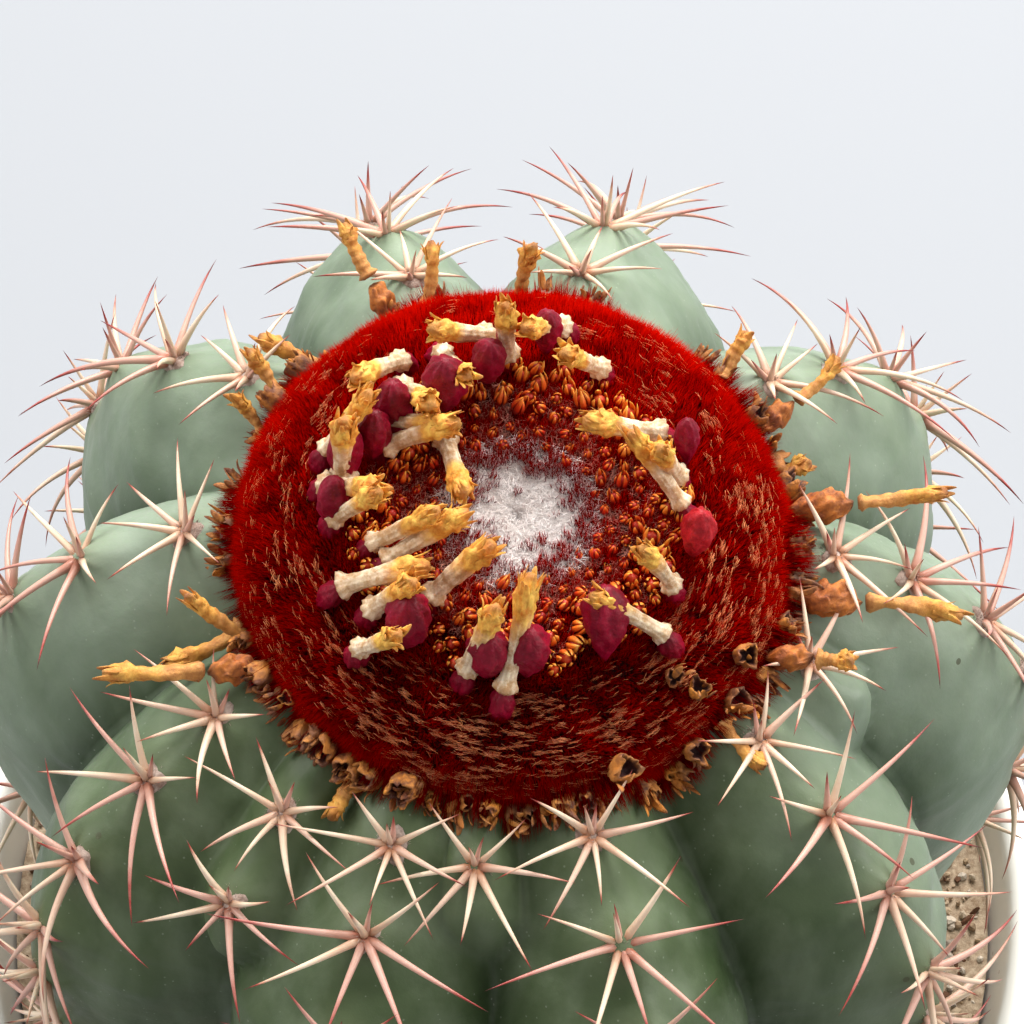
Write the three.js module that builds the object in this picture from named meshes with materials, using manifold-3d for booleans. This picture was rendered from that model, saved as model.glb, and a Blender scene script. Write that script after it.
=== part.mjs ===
// A Turk's-cap cactus in a plain round pot. Millimetres, +Z up, origin at the centre of the pot's underside.
// Azimuths are in degrees round the pot's axis: 0 is the front (-Y), 90 is the right-hand side (+X).

import * as THREE from 'three';
import { mergeVertices } from 'three/addons/utils/BufferGeometryUtils.js';
import Module from 'manifold-3d';

const wasm = await Module();
wasm.setup();

// ---- driving dimensions -------------------------------------------------------------------------

const GAP = 0.3; // air left between two pieces that touch

const POT_HEIGHT = 118;
const POT_FOOT_RADIUS = 70;
const POT_RIM_RADIUS = 94;
const POT_RIM_BAND = 16; // height of the thicker band round the mouth
const POT_MOUTH_RADIUS = 87.5;
const POT_FLOOR = 7;
const POT_FLOOR_RADIUS = 64;
const DRAIN_RADIUS = 6;
const DRAIN_RING_RADIUS = 34;
const DRAIN_COUNT = 3;

const MIX_TOP = 102;
const GRIT_TOP = 108;

const STEM_RADIUS = 81.5; // over the rib crests, at the widest level
const STEM_WIDEST_Z = 174;
const SHOULDER_HEIGHT = 53; // from the widest level up to the top of the ribs
const SHOULDER_POWER = 2.3; // above 2 makes the shoulder boxier than an ellipse
const FOOT_HEIGHT = 100; // from the widest level down to where the foot would close
const RIB_DEPTH = 15;
const RIB_POWER = 1.7; // round crest, sharp furrow
const RIB_AZIMUTHS = [16, 50, 88, 124, 165, 197, 234, 268, 304, 342];
const YOUNG_RIBS = [ // short ribs that have split off near the crown, in the furrow between two full ones
  { azimuth: 68, halfWidth: 13, length: 24, areoles: [5] },
  { azimuth: 323, halfWidth: 13, length: 40, areoles: [8, 23] },
  { azimuth: 356, halfWidth: 12, length: 22, areoles: [6] },
];
const CROWN_LEAN = 0.14; // the top of the plant leans forward by this slope

const CEPHALIUM_RADIUS = 41;
const CEPHALIUM_HEIGHT = 20;
const GROWING_POINT = new THREE.Vector3(2.5, -2.5, 233);
const CEPHALIUM_TILT_FORWARD = THREE.MathUtils.degToRad(9);
const CEPHALIUM_TILT_RIGHT = THREE.MathUtils.degToRad(3);

const AREOLE_START_RADIUS = 43; // areoles are counted down each crest from this distance off the axis
const AREOLE_SPACING = 15.5;
const AREOLE_FIRST = 4;
const AREOLE_ROWS = 3;
const PAD_RADIUS = 1.9;
const PAD_HEIGHT = 1.3;
const SPINE_RADIUS = 0.6;

// One star of spines: angle from the direction up the rib, rise above the skin, and length.
const SPINE_STAR = [
  { angle: 4, rise: 52, length: 9 },
  { angle: 52, rise: 30, length: 13 },
  { angle: 98, rise: 20, length: 20 },
  { angle: 142, rise: 24, length: 20 },
  { angle: 184, rise: 32, length: 13 },
  { angle: 220, rise: 24, length: 20 },
  { angle: 264, rise: 20, length: 20 },
  { angle: 308, rise: 30, length: 13 },
  { angle: 150, rise: 72, length: 13 },
];

// Fruits and dried flowers stand on the cephalium: azimuth and distance off the growing point,
// the azimuth they lean towards, how far they lean from upright, and length.
const FRUITS = [
  { azimuth: 213, radius: 19.5, towards: 190, lean: 5, length: 14 },
  { azimuth: 323, radius: 25.5, towards: 180, lean: 8, length: 14 },
  { azimuth: 29, radius: 25, towards: 185, lean: 30, length: 14 },
  { azimuth: 262, radius: 25, towards: 175, lean: 22, length: 14 },
  { azimuth: 3, radius: 28, towards: 180, lean: 25, length: 14 },
  { azimuth: 77, radius: 25.5, towards: 180, lean: 5, length: 14 },
  { azimuth: 110, radius: 26, towards: 200, lean: 15, length: 13 },
  { azimuth: 192, radius: 21.5, towards: 180, lean: 0, length: 13 },
];
const FLOWERS = [
  { azimuth: 190, radius: 28, towards: 300, lean: 45, length: 14 },
  { azimuth: 166, radius: 30, towards: 315, lean: 40, length: 14 },
  { azimuth: 151, radius: 25.5, towards: 300, lean: 32, length: 14 },
  { azimuth: 216, radius: 28.5, towards: 320, lean: 48, length: 13 },
  { azimuth: 238, radius: 23.5, towards: 62, lean: 52, length: 15 },
  { azimuth: 270, radius: 28.5, towards: 65, lean: 38, length: 13 },
  { azimuth: 286, radius: 21.5, towards: 92, lean: 42, length: 14 },
  { azimuth: 298, radius: 28, towards: 94, lean: 60, length: 14 },
  { azimuth: 319, radius: 18.5, towards: 115, lean: 40, length: 14 },
  { azimuth: 344, radius: 26, towards: 140, lean: 24, length: 14 },
  { azimuth: 121, radius: 24, towards: 280, lean: 57, length: 15 },
  { azimuth: 92, radius: 23.5, towards: 232, lean: 46, length: 15 },
];

// ---- colours and finishes -----------------------------------------------------------------------

const paint = (color, roughness) => new THREE.MeshStandardMaterial({ color, roughness, metalness: 0 });
const finishes = {
  pot: paint(0xe9e7e2, 0.35),
  mix: paint(0x4a3a2c, 0.95),
  grit: paint(0xae9a80, 0.95),
  stem: paint(0x6f8a74, 0.6),
  cephalium: paint(0x7c0f12, 0.95),
  spine: paint(0xcfa893, 0.5),
  fruit: paint(0xb0164c, 0.3),
  flower: paint(0xd9b479, 0.85),
};

// ---- small helpers ------------------------------------------------------------------------------

const radians = THREE.MathUtils.degToRad;

/** A closed three.js geometry as a manifold-3d solid. */
function solidOf(geometry) {
  const bare = geometry.clone();
  bare.deleteAttribute('normal');
  bare.deleteAttribute('uv');
  const merged = mergeVertices(bare, 1e-4);
  return new wasm.Manifold(new wasm.Mesh({
    numProp: 3,
    vertProperties: merged.attributes.position.array,
    triVerts: new Uint32Array(merged.index.array),
  }));
}

/** A manifold-3d solid as a three.js geometry. */
function geometryOf(solid) {
  const { vertProperties, triVerts, numProp } = solid.getMesh();
  const positions = new Float32Array((vertProperties.length / numProp) * 3);
  for (let v = 0; v < positions.length / 3; v++) {
    for (let axis = 0; axis < 3; axis++) positions[3 * v + axis] = vertProperties[numProp * v + axis];
  }
  const geometry = new THREE.BufferGeometry();
  geometry.setAttribute('position', new THREE.BufferAttribute(positions, 3));
  geometry.setIndex(Array.from(triVerts));
  geometry.computeVertexNormals();
  return geometry;
}

function makePiece(name, geometry, material) {
  const mesh = new THREE.Mesh(geometry, material);
  mesh.name = name;
  return mesh;
}

/** A turned shape about +Z. The profile is [radius, z] pairs, from the axis up the outside to the axis. */
function turned(profile, segments) {
  const points = profile.map(([radius, z]) => new THREE.Vector2(radius, z));
  return new THREE.LatheGeometry(points, segments).rotateX(Math.PI / 2);
}

/** The horizontal unit vector that an azimuth points along. */
function outward(azimuth) {
  return new THREE.Vector3(Math.sin(radians(azimuth)), -Math.cos(radians(azimuth)), 0);
}

/** A fixed number from 0 to 1 for each seed, so every copy of a repeated piece differs a little. */
function varied(seed) {
  const value = Math.sin(seed * 12.9898 + 4.1414) * 43758.5453;
  return value - Math.floor(value);
}

// ---- the ribbed stem ----------------------------------------------------------------------------

/** Radius and height of a rib crest, and the crest's outward normal, at a latitude in degrees. */
function crestAt(latitude) {
  const across = Math.cos(radians(latitude));
  const up = Math.sin(radians(Math.abs(latitude)));
  const power = latitude > 0 ? SHOULDER_POWER : 2;
  const reach = latitude > 0 ? SHOULDER_HEIGHT : FOOT_HEIGHT;
  const sign = Math.sign(latitude);
  const normal = new THREE.Vector2(
    across ** (2 - 2 / power) / STEM_RADIUS,
    (sign * up ** (2 - 2 / power)) / reach,
  ).normalize();
  return {
    radius: STEM_RADIUS * across ** (2 / power),
    z: STEM_WIDEST_Z + sign * reach * up ** (2 / power),
    normal,
  };
}

/** Crest samples with their distance along the crest, counted from AREOLE_START_RADIUS. */
const crestPath = (() => {
  const samples = [];
  let along = 0;
  for (let latitude = 88; latitude >= -50; latitude -= 0.5) {
    const crest = crestAt(latitude);
    const last = samples[samples.length - 1];
    if (last) along += Math.hypot(crest.radius - last.radius, crest.z - last.z);
    samples.push({ latitude, along, radius: crest.radius, z: crest.z });
  }
  const start = samples.find((sample) => sample.radius >= AREOLE_START_RADIUS).along;
  return samples.map((sample) => ({ ...sample, along: sample.along - start }));
})();

function latitudeAt(along) {
  const after = crestPath.findIndex((sample) => sample.along >= along);
  const [a, b] = [crestPath[after - 1], crestPath[after]];
  return a.latitude + ((b.latitude - a.latitude) * (along - a.along)) / (b.along - a.along);
}

function alongAt(latitude) {
  const after = crestPath.findIndex((sample) => sample.latitude <= latitude);
  return crestPath[Math.max(after, 0)].along;
}

/** How far the skin lies below the crest surface: nothing on a crest, most in a furrow. */
function furrowDepth(azimuth, latitude) {
  const shallow = latitude > 0
    ? 1 - Math.sin(radians(latitude)) ** 6
    : 1 - 0.5 * Math.sin(radians(-latitude)) ** 1.5;
  const depth = RIB_DEPTH * shallow;
  let nearest = 1;
  RIB_AZIMUTHS.forEach((crest, rib) => {
    const offset = ((azimuth - crest + 540) % 360) - 180;
    const next = RIB_AZIMUTHS[(rib + (offset > 0 ? 1 : RIB_AZIMUTHS.length - 1)) % RIB_AZIMUTHS.length];
    const halfGap = Math.abs(((next - crest + 540) % 360) - 180) / 2;
    nearest = Math.min(nearest, Math.abs(offset) / halfGap);
  });
  let below = depth * nearest ** RIB_POWER;
  const along = alongAt(latitude);
  for (const young of YOUNG_RIBS) {
    const offset = Math.abs(((azimuth - young.azimuth + 540) % 360) - 180) / young.halfWidth;
    const sunk = 0.12 + 0.9 * THREE.MathUtils.smoothstep(along, young.length * 0.55, young.length * 1.15);
    below = Math.min(below, depth * (sunk + offset ** RIB_POWER));
  }
  return below;
}

/** A point on the skin, moved out by `grow`. Above the widest level the plant leans forward. */
function skinPoint(azimuth, latitude, grow = 0) {
  const crest = crestAt(latitude);
  const depth = furrowDepth(azimuth, latitude) - grow;
  const radius = crest.radius - crest.normal.x * depth;
  const point = outward(azimuth).multiplyScalar(radius);
  const lean = CROWN_LEAN * Math.max(0, Math.sin(radians(latitude)));
  point.z = crest.z - crest.normal.y * depth + lean * point.y;
  return point;
}

/** The whole stem as one closed skin: rows of latitude, columns that follow crests and furrows. */
function stemGeometry(grow, footZ) {
  const columnsPerRib = 8;
  const rows = 16;
  const topLatitude = 80;
  const footLatitude = -THREE.MathUtils.radToDeg(Math.asin((STEM_WIDEST_Z - footZ) / FOOT_HEIGHT));
  const columns = RIB_AZIMUTHS.length * columnsPerRib;
  const azimuths = Array.from({ length: columns }, (_, column) => {
    const rib = Math.floor(column / columnsPerRib);
    const crest = RIB_AZIMUTHS[rib];
    const gap = (((RIB_AZIMUTHS[(rib + 1) % RIB_AZIMUTHS.length] - crest) % 360) + 360) % 360;
    return crest + (gap * (column % columnsPerRib)) / columnsPerRib;
  });
  const positions = [];
  for (let row = 0; row < rows; row++) {
    const latitude = THREE.MathUtils.lerp(topLatitude, footLatitude, row / (rows - 1));
    for (const azimuth of azimuths) {
      const point = skinPoint(azimuth, latitude, grow);
      if (row === rows - 1) point.z = footZ;
      positions.push(...point.toArray());
    }
  }
  const top = positions.length / 3;
  positions.push(0, 0, crestAt(topLatitude).z);
  const bottom = top + 1;
  positions.push(0, 0, footZ);
  const faces = [];
  for (let column = 0; column < columns; column++) {
    const next = (column + 1) % columns;
    faces.push(top, column, next);
    for (let row = 0; row < rows - 1; row++) {
      const [a, b] = [row * columns + column, row * columns + next];
      const [c, d] = [a + columns, b + columns];
      faces.push(a, c, b, b, c, d);
    }
    const lastRow = (rows - 1) * columns;
    faces.push(bottom, lastRow + next, lastRow + column);
  }
  const geometry = new THREE.BufferGeometry();
  geometry.setAttribute('position', new THREE.Float32BufferAttribute(positions, 3));
  geometry.setIndex(faces);
  return geometry;
}

// ---- the crown: a group whose origin is the growing point, tipped forward -----------------------

const crown = new THREE.Group();
crown.position.copy(GROWING_POINT);
crown.rotation.set(CEPHALIUM_TILT_FORWARD, CEPHALIUM_TILT_RIGHT, 0);
crown.updateMatrixWorld(true);

/** Height of the cephalium's upper face at a distance off its axis, and its profile as a drum. */
function cephaliumProfile(grow) {
  const r = CEPHALIUM_RADIUS + grow;
  const top = grow;
  const foot = -CEPHALIUM_HEIGHT - grow;
  return [
    [0, foot], [r - 3.5, foot], [r - 0.8, foot + 4], [r, foot + 10], [r - 1.4, top - 5.5],
    [r - 4.5, top - 2], [r - 10, top - 0.3], [r - 20, top], [r - 32, top - 1], [0, top - 1.6],
  ];
}

/** Distance below the growing point's level at which a piece on the cephalium starts. */
function seatDepth(radius) {
  return radius > 31 ? 1 : 0;
}

/** Puts a piece that is drawn along +Z onto the crown. */
function standOnCrown(mesh, { azimuth, radius, towards, lean }, lift) {
  const foot = outward(azimuth).multiplyScalar(radius);
  foot.z = lift - seatDepth(radius);
  const direction = outward(towards).multiplyScalar(Math.sin(radians(lean)));
  direction.z = Math.cos(radians(lean));
  mesh.position.copy(foot);
  mesh.quaternion.setFromUnitVectors(new THREE.Vector3(0, 0, 1), direction);
  crown.add(mesh);
  mesh.updateMatrixWorld(true);
  return mesh;
}

/** A club-shaped fruit: a narrow foot, widest near its blunt end. */
function fruitGeometry(length, grow = 0) {
  const radius = 3.2;
  return turned([
    [0, -grow], [radius * 0.4 + grow, -grow], [radius * 0.72 + grow, length * 0.3],
    [radius + grow, length * 0.62], [radius * 0.86 + grow, length * 0.86],
    [radius * 0.4, length + grow], [0, length + grow],
  ], 10);
}

/** A dried flower: a flared collar, a pinched tube and a crumpled tip. */
function flowerGeometry(length, grow = 0) {
  return turned([
    [0, -grow], [1.9 + grow, -grow], [1.2 + grow, length * 0.14], [1.15 + grow, length * 0.6],
    [1.7 + grow, length * 0.76], [1.4 + grow, length * 0.95], [0, length + grow],
  ], 7);
}

// ---- spines -------------------------------------------------------------------------------------

/** One awl-shaped spine from the origin, with its root inside the pad and its end bent to the skin. */
function spineGeometry({ angle, rise, length }, seed) {
  const sides = 3;
  const stretches = length > 15 ? 2 : 1;
  const longer = length * (0.9 + 0.2 * varied(seed));
  const spine = new THREE.ConeGeometry(SPINE_RADIUS, longer, sides, stretches);
  spine.translate(0, longer / 2, 0);
  const places = spine.attributes.position;
  for (let v = 0; v < places.count; v++) {
    const along = places.getY(v) / longer;
    places.setZ(v, places.getZ(v) - longer * 0.1 * along * along);
  }
  spine.rotateX(radians(rise + 8 * (varied(seed + 0.37) - 0.5)));
  spine.rotateZ(-radians(angle + 12 * (varied(seed + 0.71) - 0.5)));
  spine.translate(0, 0, PAD_HEIGHT * 0.45);
  return spine;
}

/** A woolly pad with its star of spines, joined. +Z is away from the skin and +Y is up the rib. */
function areoleGeometry(seed, size) {
  const pad = new THREE.SphereGeometry(1, 7, 3).rotateX(Math.PI / 2);
  pad.scale(PAD_RADIUS, PAD_RADIUS * 1.15, PAD_HEIGHT);
  let whole = solidOf(pad);
  SPINE_STAR.forEach((spine, index) => {
    const sized = { ...spine, length: spine.length * size };
    whole = whole.add(solidOf(spineGeometry(sized, seed + index)));
  });
  return geometryOf(whole);
}

/** Sets an areole on a crest, just clear of the skin. */
function placeAreole(mesh, azimuth, along) {
  const latitude = latitudeAt(along);
  const step = 1;
  const here = skinPoint(azimuth, latitude);
  const upRib = skinPoint(azimuth, latitude + step).sub(skinPoint(azimuth, latitude - step)).normalize();
  const sideways = new THREE.Vector3().crossVectors(upRib, outward(azimuth)).normalize();
  const away = new THREE.Vector3().crossVectors(sideways, upRib).normalize();
  mesh.matrix.makeBasis(sideways, upRib, away);
  mesh.quaternion.setFromRotationMatrix(mesh.matrix);
  mesh.position.copy(here).addScaledVector(away, PAD_HEIGHT + GAP);
  return mesh;
}

// ---- assembly -----------------------------------------------------------------------------------

const cactus = new THREE.Group();
cactus.add(crown);

function makePot() {
  const bandFoot = POT_HEIGHT - POT_RIM_BAND;
  const wall = turned([
    [0, 0], [POT_FOOT_RADIUS - 2, 0], [POT_FOOT_RADIUS, 2], [POT_RIM_RADIUS - 4, bandFoot - 2],
    [POT_RIM_RADIUS - 1, bandFoot], [POT_RIM_RADIUS, bandFoot + 2], [POT_RIM_RADIUS, POT_HEIGHT - 2],
    [POT_RIM_RADIUS - 2, POT_HEIGHT], [POT_MOUTH_RADIUS + 1.5, POT_HEIGHT],
    [POT_MOUTH_RADIUS, POT_HEIGHT - 1.5], [POT_FLOOR_RADIUS, POT_FLOOR], [0, POT_FLOOR],
  ], 56);
  let pot = solidOf(wall);
  for (let hole = 0; hole < DRAIN_COUNT; hole++) {
    const drain = new THREE.CylinderGeometry(DRAIN_RADIUS, DRAIN_RADIUS, POT_FLOOR * 3, 12).rotateX(Math.PI / 2);
    const place = outward((360 * hole) / DRAIN_COUNT).multiplyScalar(DRAIN_RING_RADIUS);
    pot = pot.subtract(solidOf(drain.translate(place.x, place.y, 0)));
  }
  return makePiece('pot', geometryOf(pot), finishes.pot);
}

/** Inside radius of the pot at a height, less the gap. */
function insidePot(z) {
  const share = (z - POT_FLOOR) / (POT_HEIGHT - 1.5 - POT_FLOOR);
  return THREE.MathUtils.lerp(POT_FLOOR_RADIUS, POT_MOUTH_RADIUS, share) - GAP - 0.1;
}

function makeMix() {
  const foot = POT_FLOOR + GAP;
  const heap = turned([[0, foot], [insidePot(foot), foot], [insidePot(MIX_TOP), MIX_TOP], [0, MIX_TOP]], 40);
  return makePiece('potting_mix', heap, finishes.mix);
}

function makeGrit() {
  const foot = MIX_TOP + GAP;
  const layer = solidOf(turned([
    [0, foot], [insidePot(foot), foot], [insidePot(GRIT_TOP - 1), GRIT_TOP - 1],
    [insidePot(GRIT_TOP) - 3, GRIT_TOP], [0, GRIT_TOP],
  ], 40));
  const hole = solidOf(stemGeometry(GAP + 0.2, foot - 0.05));
  return makePiece('grit_top_dressing', geometryOf(layer.subtract(hole)), finishes.grit);
}

function makeStem() {
  const whole = solidOf(stemGeometry(0, MIX_TOP + GAP));
  const seat = solidOf(turned(cephaliumProfile(GAP), 32).applyMatrix4(crown.matrixWorld));
  return makePiece('stem', geometryOf(whole.subtract(seat)), finishes.stem);
}

function makeAreoles() {
  const made = [];
  RIB_AZIMUTHS.forEach((azimuth, rib) => {
    for (let row = 0; row < AREOLE_ROWS; row++) {
      const seed = 100 * (rib + 1) + 10 * row;
      const along = AREOLE_FIRST + AREOLE_SPACING * row + 3 * (varied(seed + 5) - 0.5);
      const size = row === 0 ? 0.75 : 1;
      const name = `areole_rib${rib + 1}_row${row + 1}`;
      made.push(placeAreole(makePiece(name, areoleGeometry(seed, size), finishes.spine), azimuth, along));
    }
  });
  YOUNG_RIBS.forEach((young, rib) => {
    young.areoles.forEach((along, row) => {
      const seed = 2000 + 100 * rib + 10 * row;
      const name = `areole_young_rib${rib + 1}_row${row + 1}`;
      made.push(placeAreole(makePiece(name, areoleGeometry(seed, 0.75), finishes.spine), young.azimuth, along));
    });
  });
  return made;
}

/** Stands the fruits and flowers on the crown and cuts a socket for each into the cephalium. */
function makeCrown() {
  let cephalium = solidOf(turned(cephaliumProfile(0), 32));
  const stand = (name, place, build, material, lift) => {
    const piece = standOnCrown(makePiece(name, build(place.length), material), place, lift);
    const socket = build(place.length, GAP).applyMatrix4(piece.matrix);
    cephalium = cephalium.subtract(solidOf(socket));
  };
  FRUITS.forEach((place, index) => stand(`fruit_${index + 1}`, place, fruitGeometry, finishes.fruit, -2));
  FLOWERS.forEach((place, index) => stand(`dried_flower_${index + 1}`, place, flowerGeometry, finishes.flower, 1));
  crown.add(makePiece('cephalium', geometryOf(cephalium), finishes.cephalium));
}

makeCrown();
cactus.add(makePot(), makeMix(), makeGrit(), makeStem(), ...makeAreoles());

export default cactus;
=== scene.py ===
# %% [markdown]
# # A Turk's-cap cactus in a plain pot
#
# This old cactus has stopped adding to its green body and puts all its growth into a red, bristly cap,
# the cephalium, where it flowers and fruits. The lesson builds it from the pot upwards. Each surface is
# a formula with two parameters, worked out by numpy as whole arrays, because a plant is a few rules
# repeated many times: ribs, areoles at even steps down each rib, and buds on a golden-angle spiral.

# %% The fixed frame
import bpy
import numpy as np
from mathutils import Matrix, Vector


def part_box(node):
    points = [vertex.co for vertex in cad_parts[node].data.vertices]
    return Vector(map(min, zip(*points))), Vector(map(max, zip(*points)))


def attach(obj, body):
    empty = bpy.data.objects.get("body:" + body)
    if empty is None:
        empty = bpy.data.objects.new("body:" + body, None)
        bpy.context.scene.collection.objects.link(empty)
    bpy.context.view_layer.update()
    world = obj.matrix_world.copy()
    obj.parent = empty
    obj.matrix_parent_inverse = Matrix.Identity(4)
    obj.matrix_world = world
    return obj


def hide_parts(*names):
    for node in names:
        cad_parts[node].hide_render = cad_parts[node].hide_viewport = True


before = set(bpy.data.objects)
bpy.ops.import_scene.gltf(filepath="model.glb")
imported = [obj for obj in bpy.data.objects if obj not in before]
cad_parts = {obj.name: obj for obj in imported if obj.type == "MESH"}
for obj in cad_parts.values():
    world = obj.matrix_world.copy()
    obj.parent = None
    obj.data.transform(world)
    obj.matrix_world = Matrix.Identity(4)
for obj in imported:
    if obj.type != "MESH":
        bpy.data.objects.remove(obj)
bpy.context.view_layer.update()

MM = 0.001  # lengths below are in millimetres, and become metres when a mesh is made


def box_mm(node):
    """Lowest and highest corner of a node of the frame, in millimetres."""
    low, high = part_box(node)
    return np.array(low) / MM, np.array(high) / MM


print("nodes in the frame:", len(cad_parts))

# %% [markdown]
# ## Sizes
#
# The pot, the soil levels and the stem's foot are read from the frame, so they can't drift from it. The
# stem's own rules are the same few numbers that shaped the frame's stem, and the box of the surface made
# here is printed beside the frame's box further down.

# %% Driving sizes
POT_RADIUS = box_mm("pot")[1][0]
POT_HEIGHT = box_mm("pot")[1][2]
GRIT_TOP = box_mm("grit_top_dressing")[1][2]
GRIT_RADIUS = box_mm("grit_top_dressing")[1][0]
STEM_FOOT = box_mm("stem")[0][2]

STEM_RADIUS = 81.5
STEM_WIDEST_Z = 174.0
SHOULDER_HEIGHT = 53.0
SHOULDER_POWER = 2.3
FOOT_HEIGHT = 100.0
RIB_DEPTH = 15.0
RIB_POWER = 1.7
CROWN_LEAN = 0.14
RIB_AZIMUTHS = np.array([16, 50, 88, 124, 165, 197, 234, 268, 304, 342], float)
# azimuth, half width in degrees, length down the crest, and where the areoles sit on it
YOUNG_RIBS = [(68, 13, 24, [5]), (323, 13, 40, [8, 23]), (356, 12, 22, [6])]

CAP_RADIUS = 41.0
CAP_HEIGHT = 20.0
GROWING_POINT = np.array([2.5, -2.5, 233.0])
TILT_FORWARD = np.radians(9)
TILT_RIGHT = np.radians(3)

AREOLE_START_RADIUS = 43.0
AREOLE_SPACING = 15.5
AREOLE_FIRST = 4.0
GOLDEN_ANGLE = 137.508
print("pot", round(2 * POT_RADIUS), "mm across and", round(POT_HEIGHT), "mm high")

# %% [markdown]
# ## Mesh helpers
#
# Two builders are enough for nearly everything. One closes a grid of points into a skin. The other
# carries rings of points along many paths at once, which makes spines, bristles, wool and dried flowers.
# Every vertex can carry numbers, such as how far along its spine it is, for the materials to read.

# %% Small sums on whole arrays
def outward(azimuth):
    """Horizontal unit vectors: azimuth 0 is the front (-Y) and 90 is the right (+X)."""
    angle = np.radians(azimuth)
    return np.stack([np.sin(angle), -np.cos(angle), np.zeros_like(angle)], -1)


def unit(vectors):
    """Vectors divided by their own lengths."""
    return vectors / np.maximum(np.linalg.norm(vectors, axis=-1, keepdims=True), 1e-12)


def varied(seed):
    """A fixed number from 0 to 1 for each seed: the fraction left over from a large sine."""
    value = np.sin(np.asarray(seed, float) * 12.9898 + 4.1414) * 43758.5453
    return value - np.floor(value)


def tilts(seeds, shifts):
    """A fixed vector for each seed, with parts from -0.5 to 0.5."""
    return np.stack([varied(seeds + shift) - 0.5 for shift in shifts], -1)


def turns(sides):
    """Angles at even steps round a ring, in radians."""
    return np.linspace(0, 2 * np.pi, sides, endpoint=False)


def hump(distance, width, height=1.0):
    """A rounded hill: height x e to the power of -(distance / width) squared."""
    return height * np.exp(-((distance / width) ** 2))


def smoothstep(value, low, high):
    """0 below low, 1 above high, and a smooth rise between."""
    share = np.clip((value - low) / (high - low), 0, 1)
    return share * share * (3 - 2 * share)


print("the first three fixed numbers:", varied(np.arange(3)).round(3))

# %% Points and faces to a finished piece
def make_piece(name, points, faces, material, replaces=(), marks=None, smooth=True):
    """One object from points in millimetres and a list of face arrays, riding on the root body."""
    mesh = bpy.data.meshes.new(name)
    counts = np.concatenate([np.full(len(group), group.shape[1]) for group in faces])
    corners = np.concatenate([group.ravel() for group in faces]).astype(np.int32)
    starts = np.concatenate([[0], np.cumsum(counts)[:-1]]).astype(np.int32)
    mesh.vertices.add(len(points))
    mesh.vertices.foreach_set("co", (points * MM).astype(np.float32).ravel())
    mesh.loops.add(len(corners))
    mesh.loops.foreach_set("vertex_index", corners)
    mesh.polygons.add(len(counts))
    mesh.polygons.foreach_set("loop_start", starts)
    mesh.update(calc_edges=True)
    mesh.polygons.foreach_set("use_smooth", np.full(len(counts), smooth))
    for mark, values in (marks or {}).items():
        layer = mesh.attributes.new(mark, "FLOAT", "POINT")
        layer.data.foreach_set("value", np.asarray(values, np.float32).ravel())
    mesh.materials.append(material)
    piece = bpy.data.objects.new(name, mesh)
    bpy.context.scene.collection.objects.link(piece)
    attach(piece, "root")
    if replaces:
        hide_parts(*replaces)
    triangles = int((counts - 2).sum())
    print(f"{name}: {triangles} triangles")
    return piece


def merge(parts):
    """Several (points, faces, marks) sets as one, with the face numbers moved up."""
    offset, points, faces, marks = 0, [], [], {}
    for part_points, part_faces, part_marks in parts:
        points.append(part_points)
        faces.extend(group + offset for group in part_faces)
        for mark, values in part_marks.items():
            marks.setdefault(mark, []).append(values)
        offset += len(part_points)
    return np.concatenate(points), faces, {mark: np.concatenate(v) for mark, v in marks.items()}


# %% A closed skin from a grid
def closed_skin(grid):
    """Rows run from the top pole's side to the bottom's, columns go round. Both ends close in a fan."""
    rows, columns = grid.shape[:2]
    index = np.arange(rows * columns).reshape(rows, columns)
    after = np.roll(index, -1, 1)
    quads = np.stack([index[:-1], index[1:], after[1:], after[:-1]], -1).reshape(-1, 4)
    poles = np.stack([grid[0].mean(0), grid[-1].mean(0)])
    top, bottom = rows * columns, rows * columns + 1
    caps = np.concatenate([
        np.stack([np.full(columns, top), index[0], after[0]], -1),
        np.stack([np.full(columns, bottom), after[-1], index[-1]], -1),
    ])
    return np.concatenate([grid.reshape(-1, 3), poles]), [quads, caps]


two_squares = outward(np.arange(0, 360, 90.0)) + np.array([[[0, 0, 1.0]], [[0, 0, 0.0]]])
print("two squares close with", [len(group) for group in closed_skin(two_squares)[1]], "quads and triangles")

# %% Rings carried along many paths
def not_along(directions):
    """Straight up for each direction, or +X for one that is steep itself."""
    return np.where(np.abs(directions[:, 2:3]) < 0.8, [[0, 0, 1.0]], [[1.0, 0, 0]])


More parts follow.
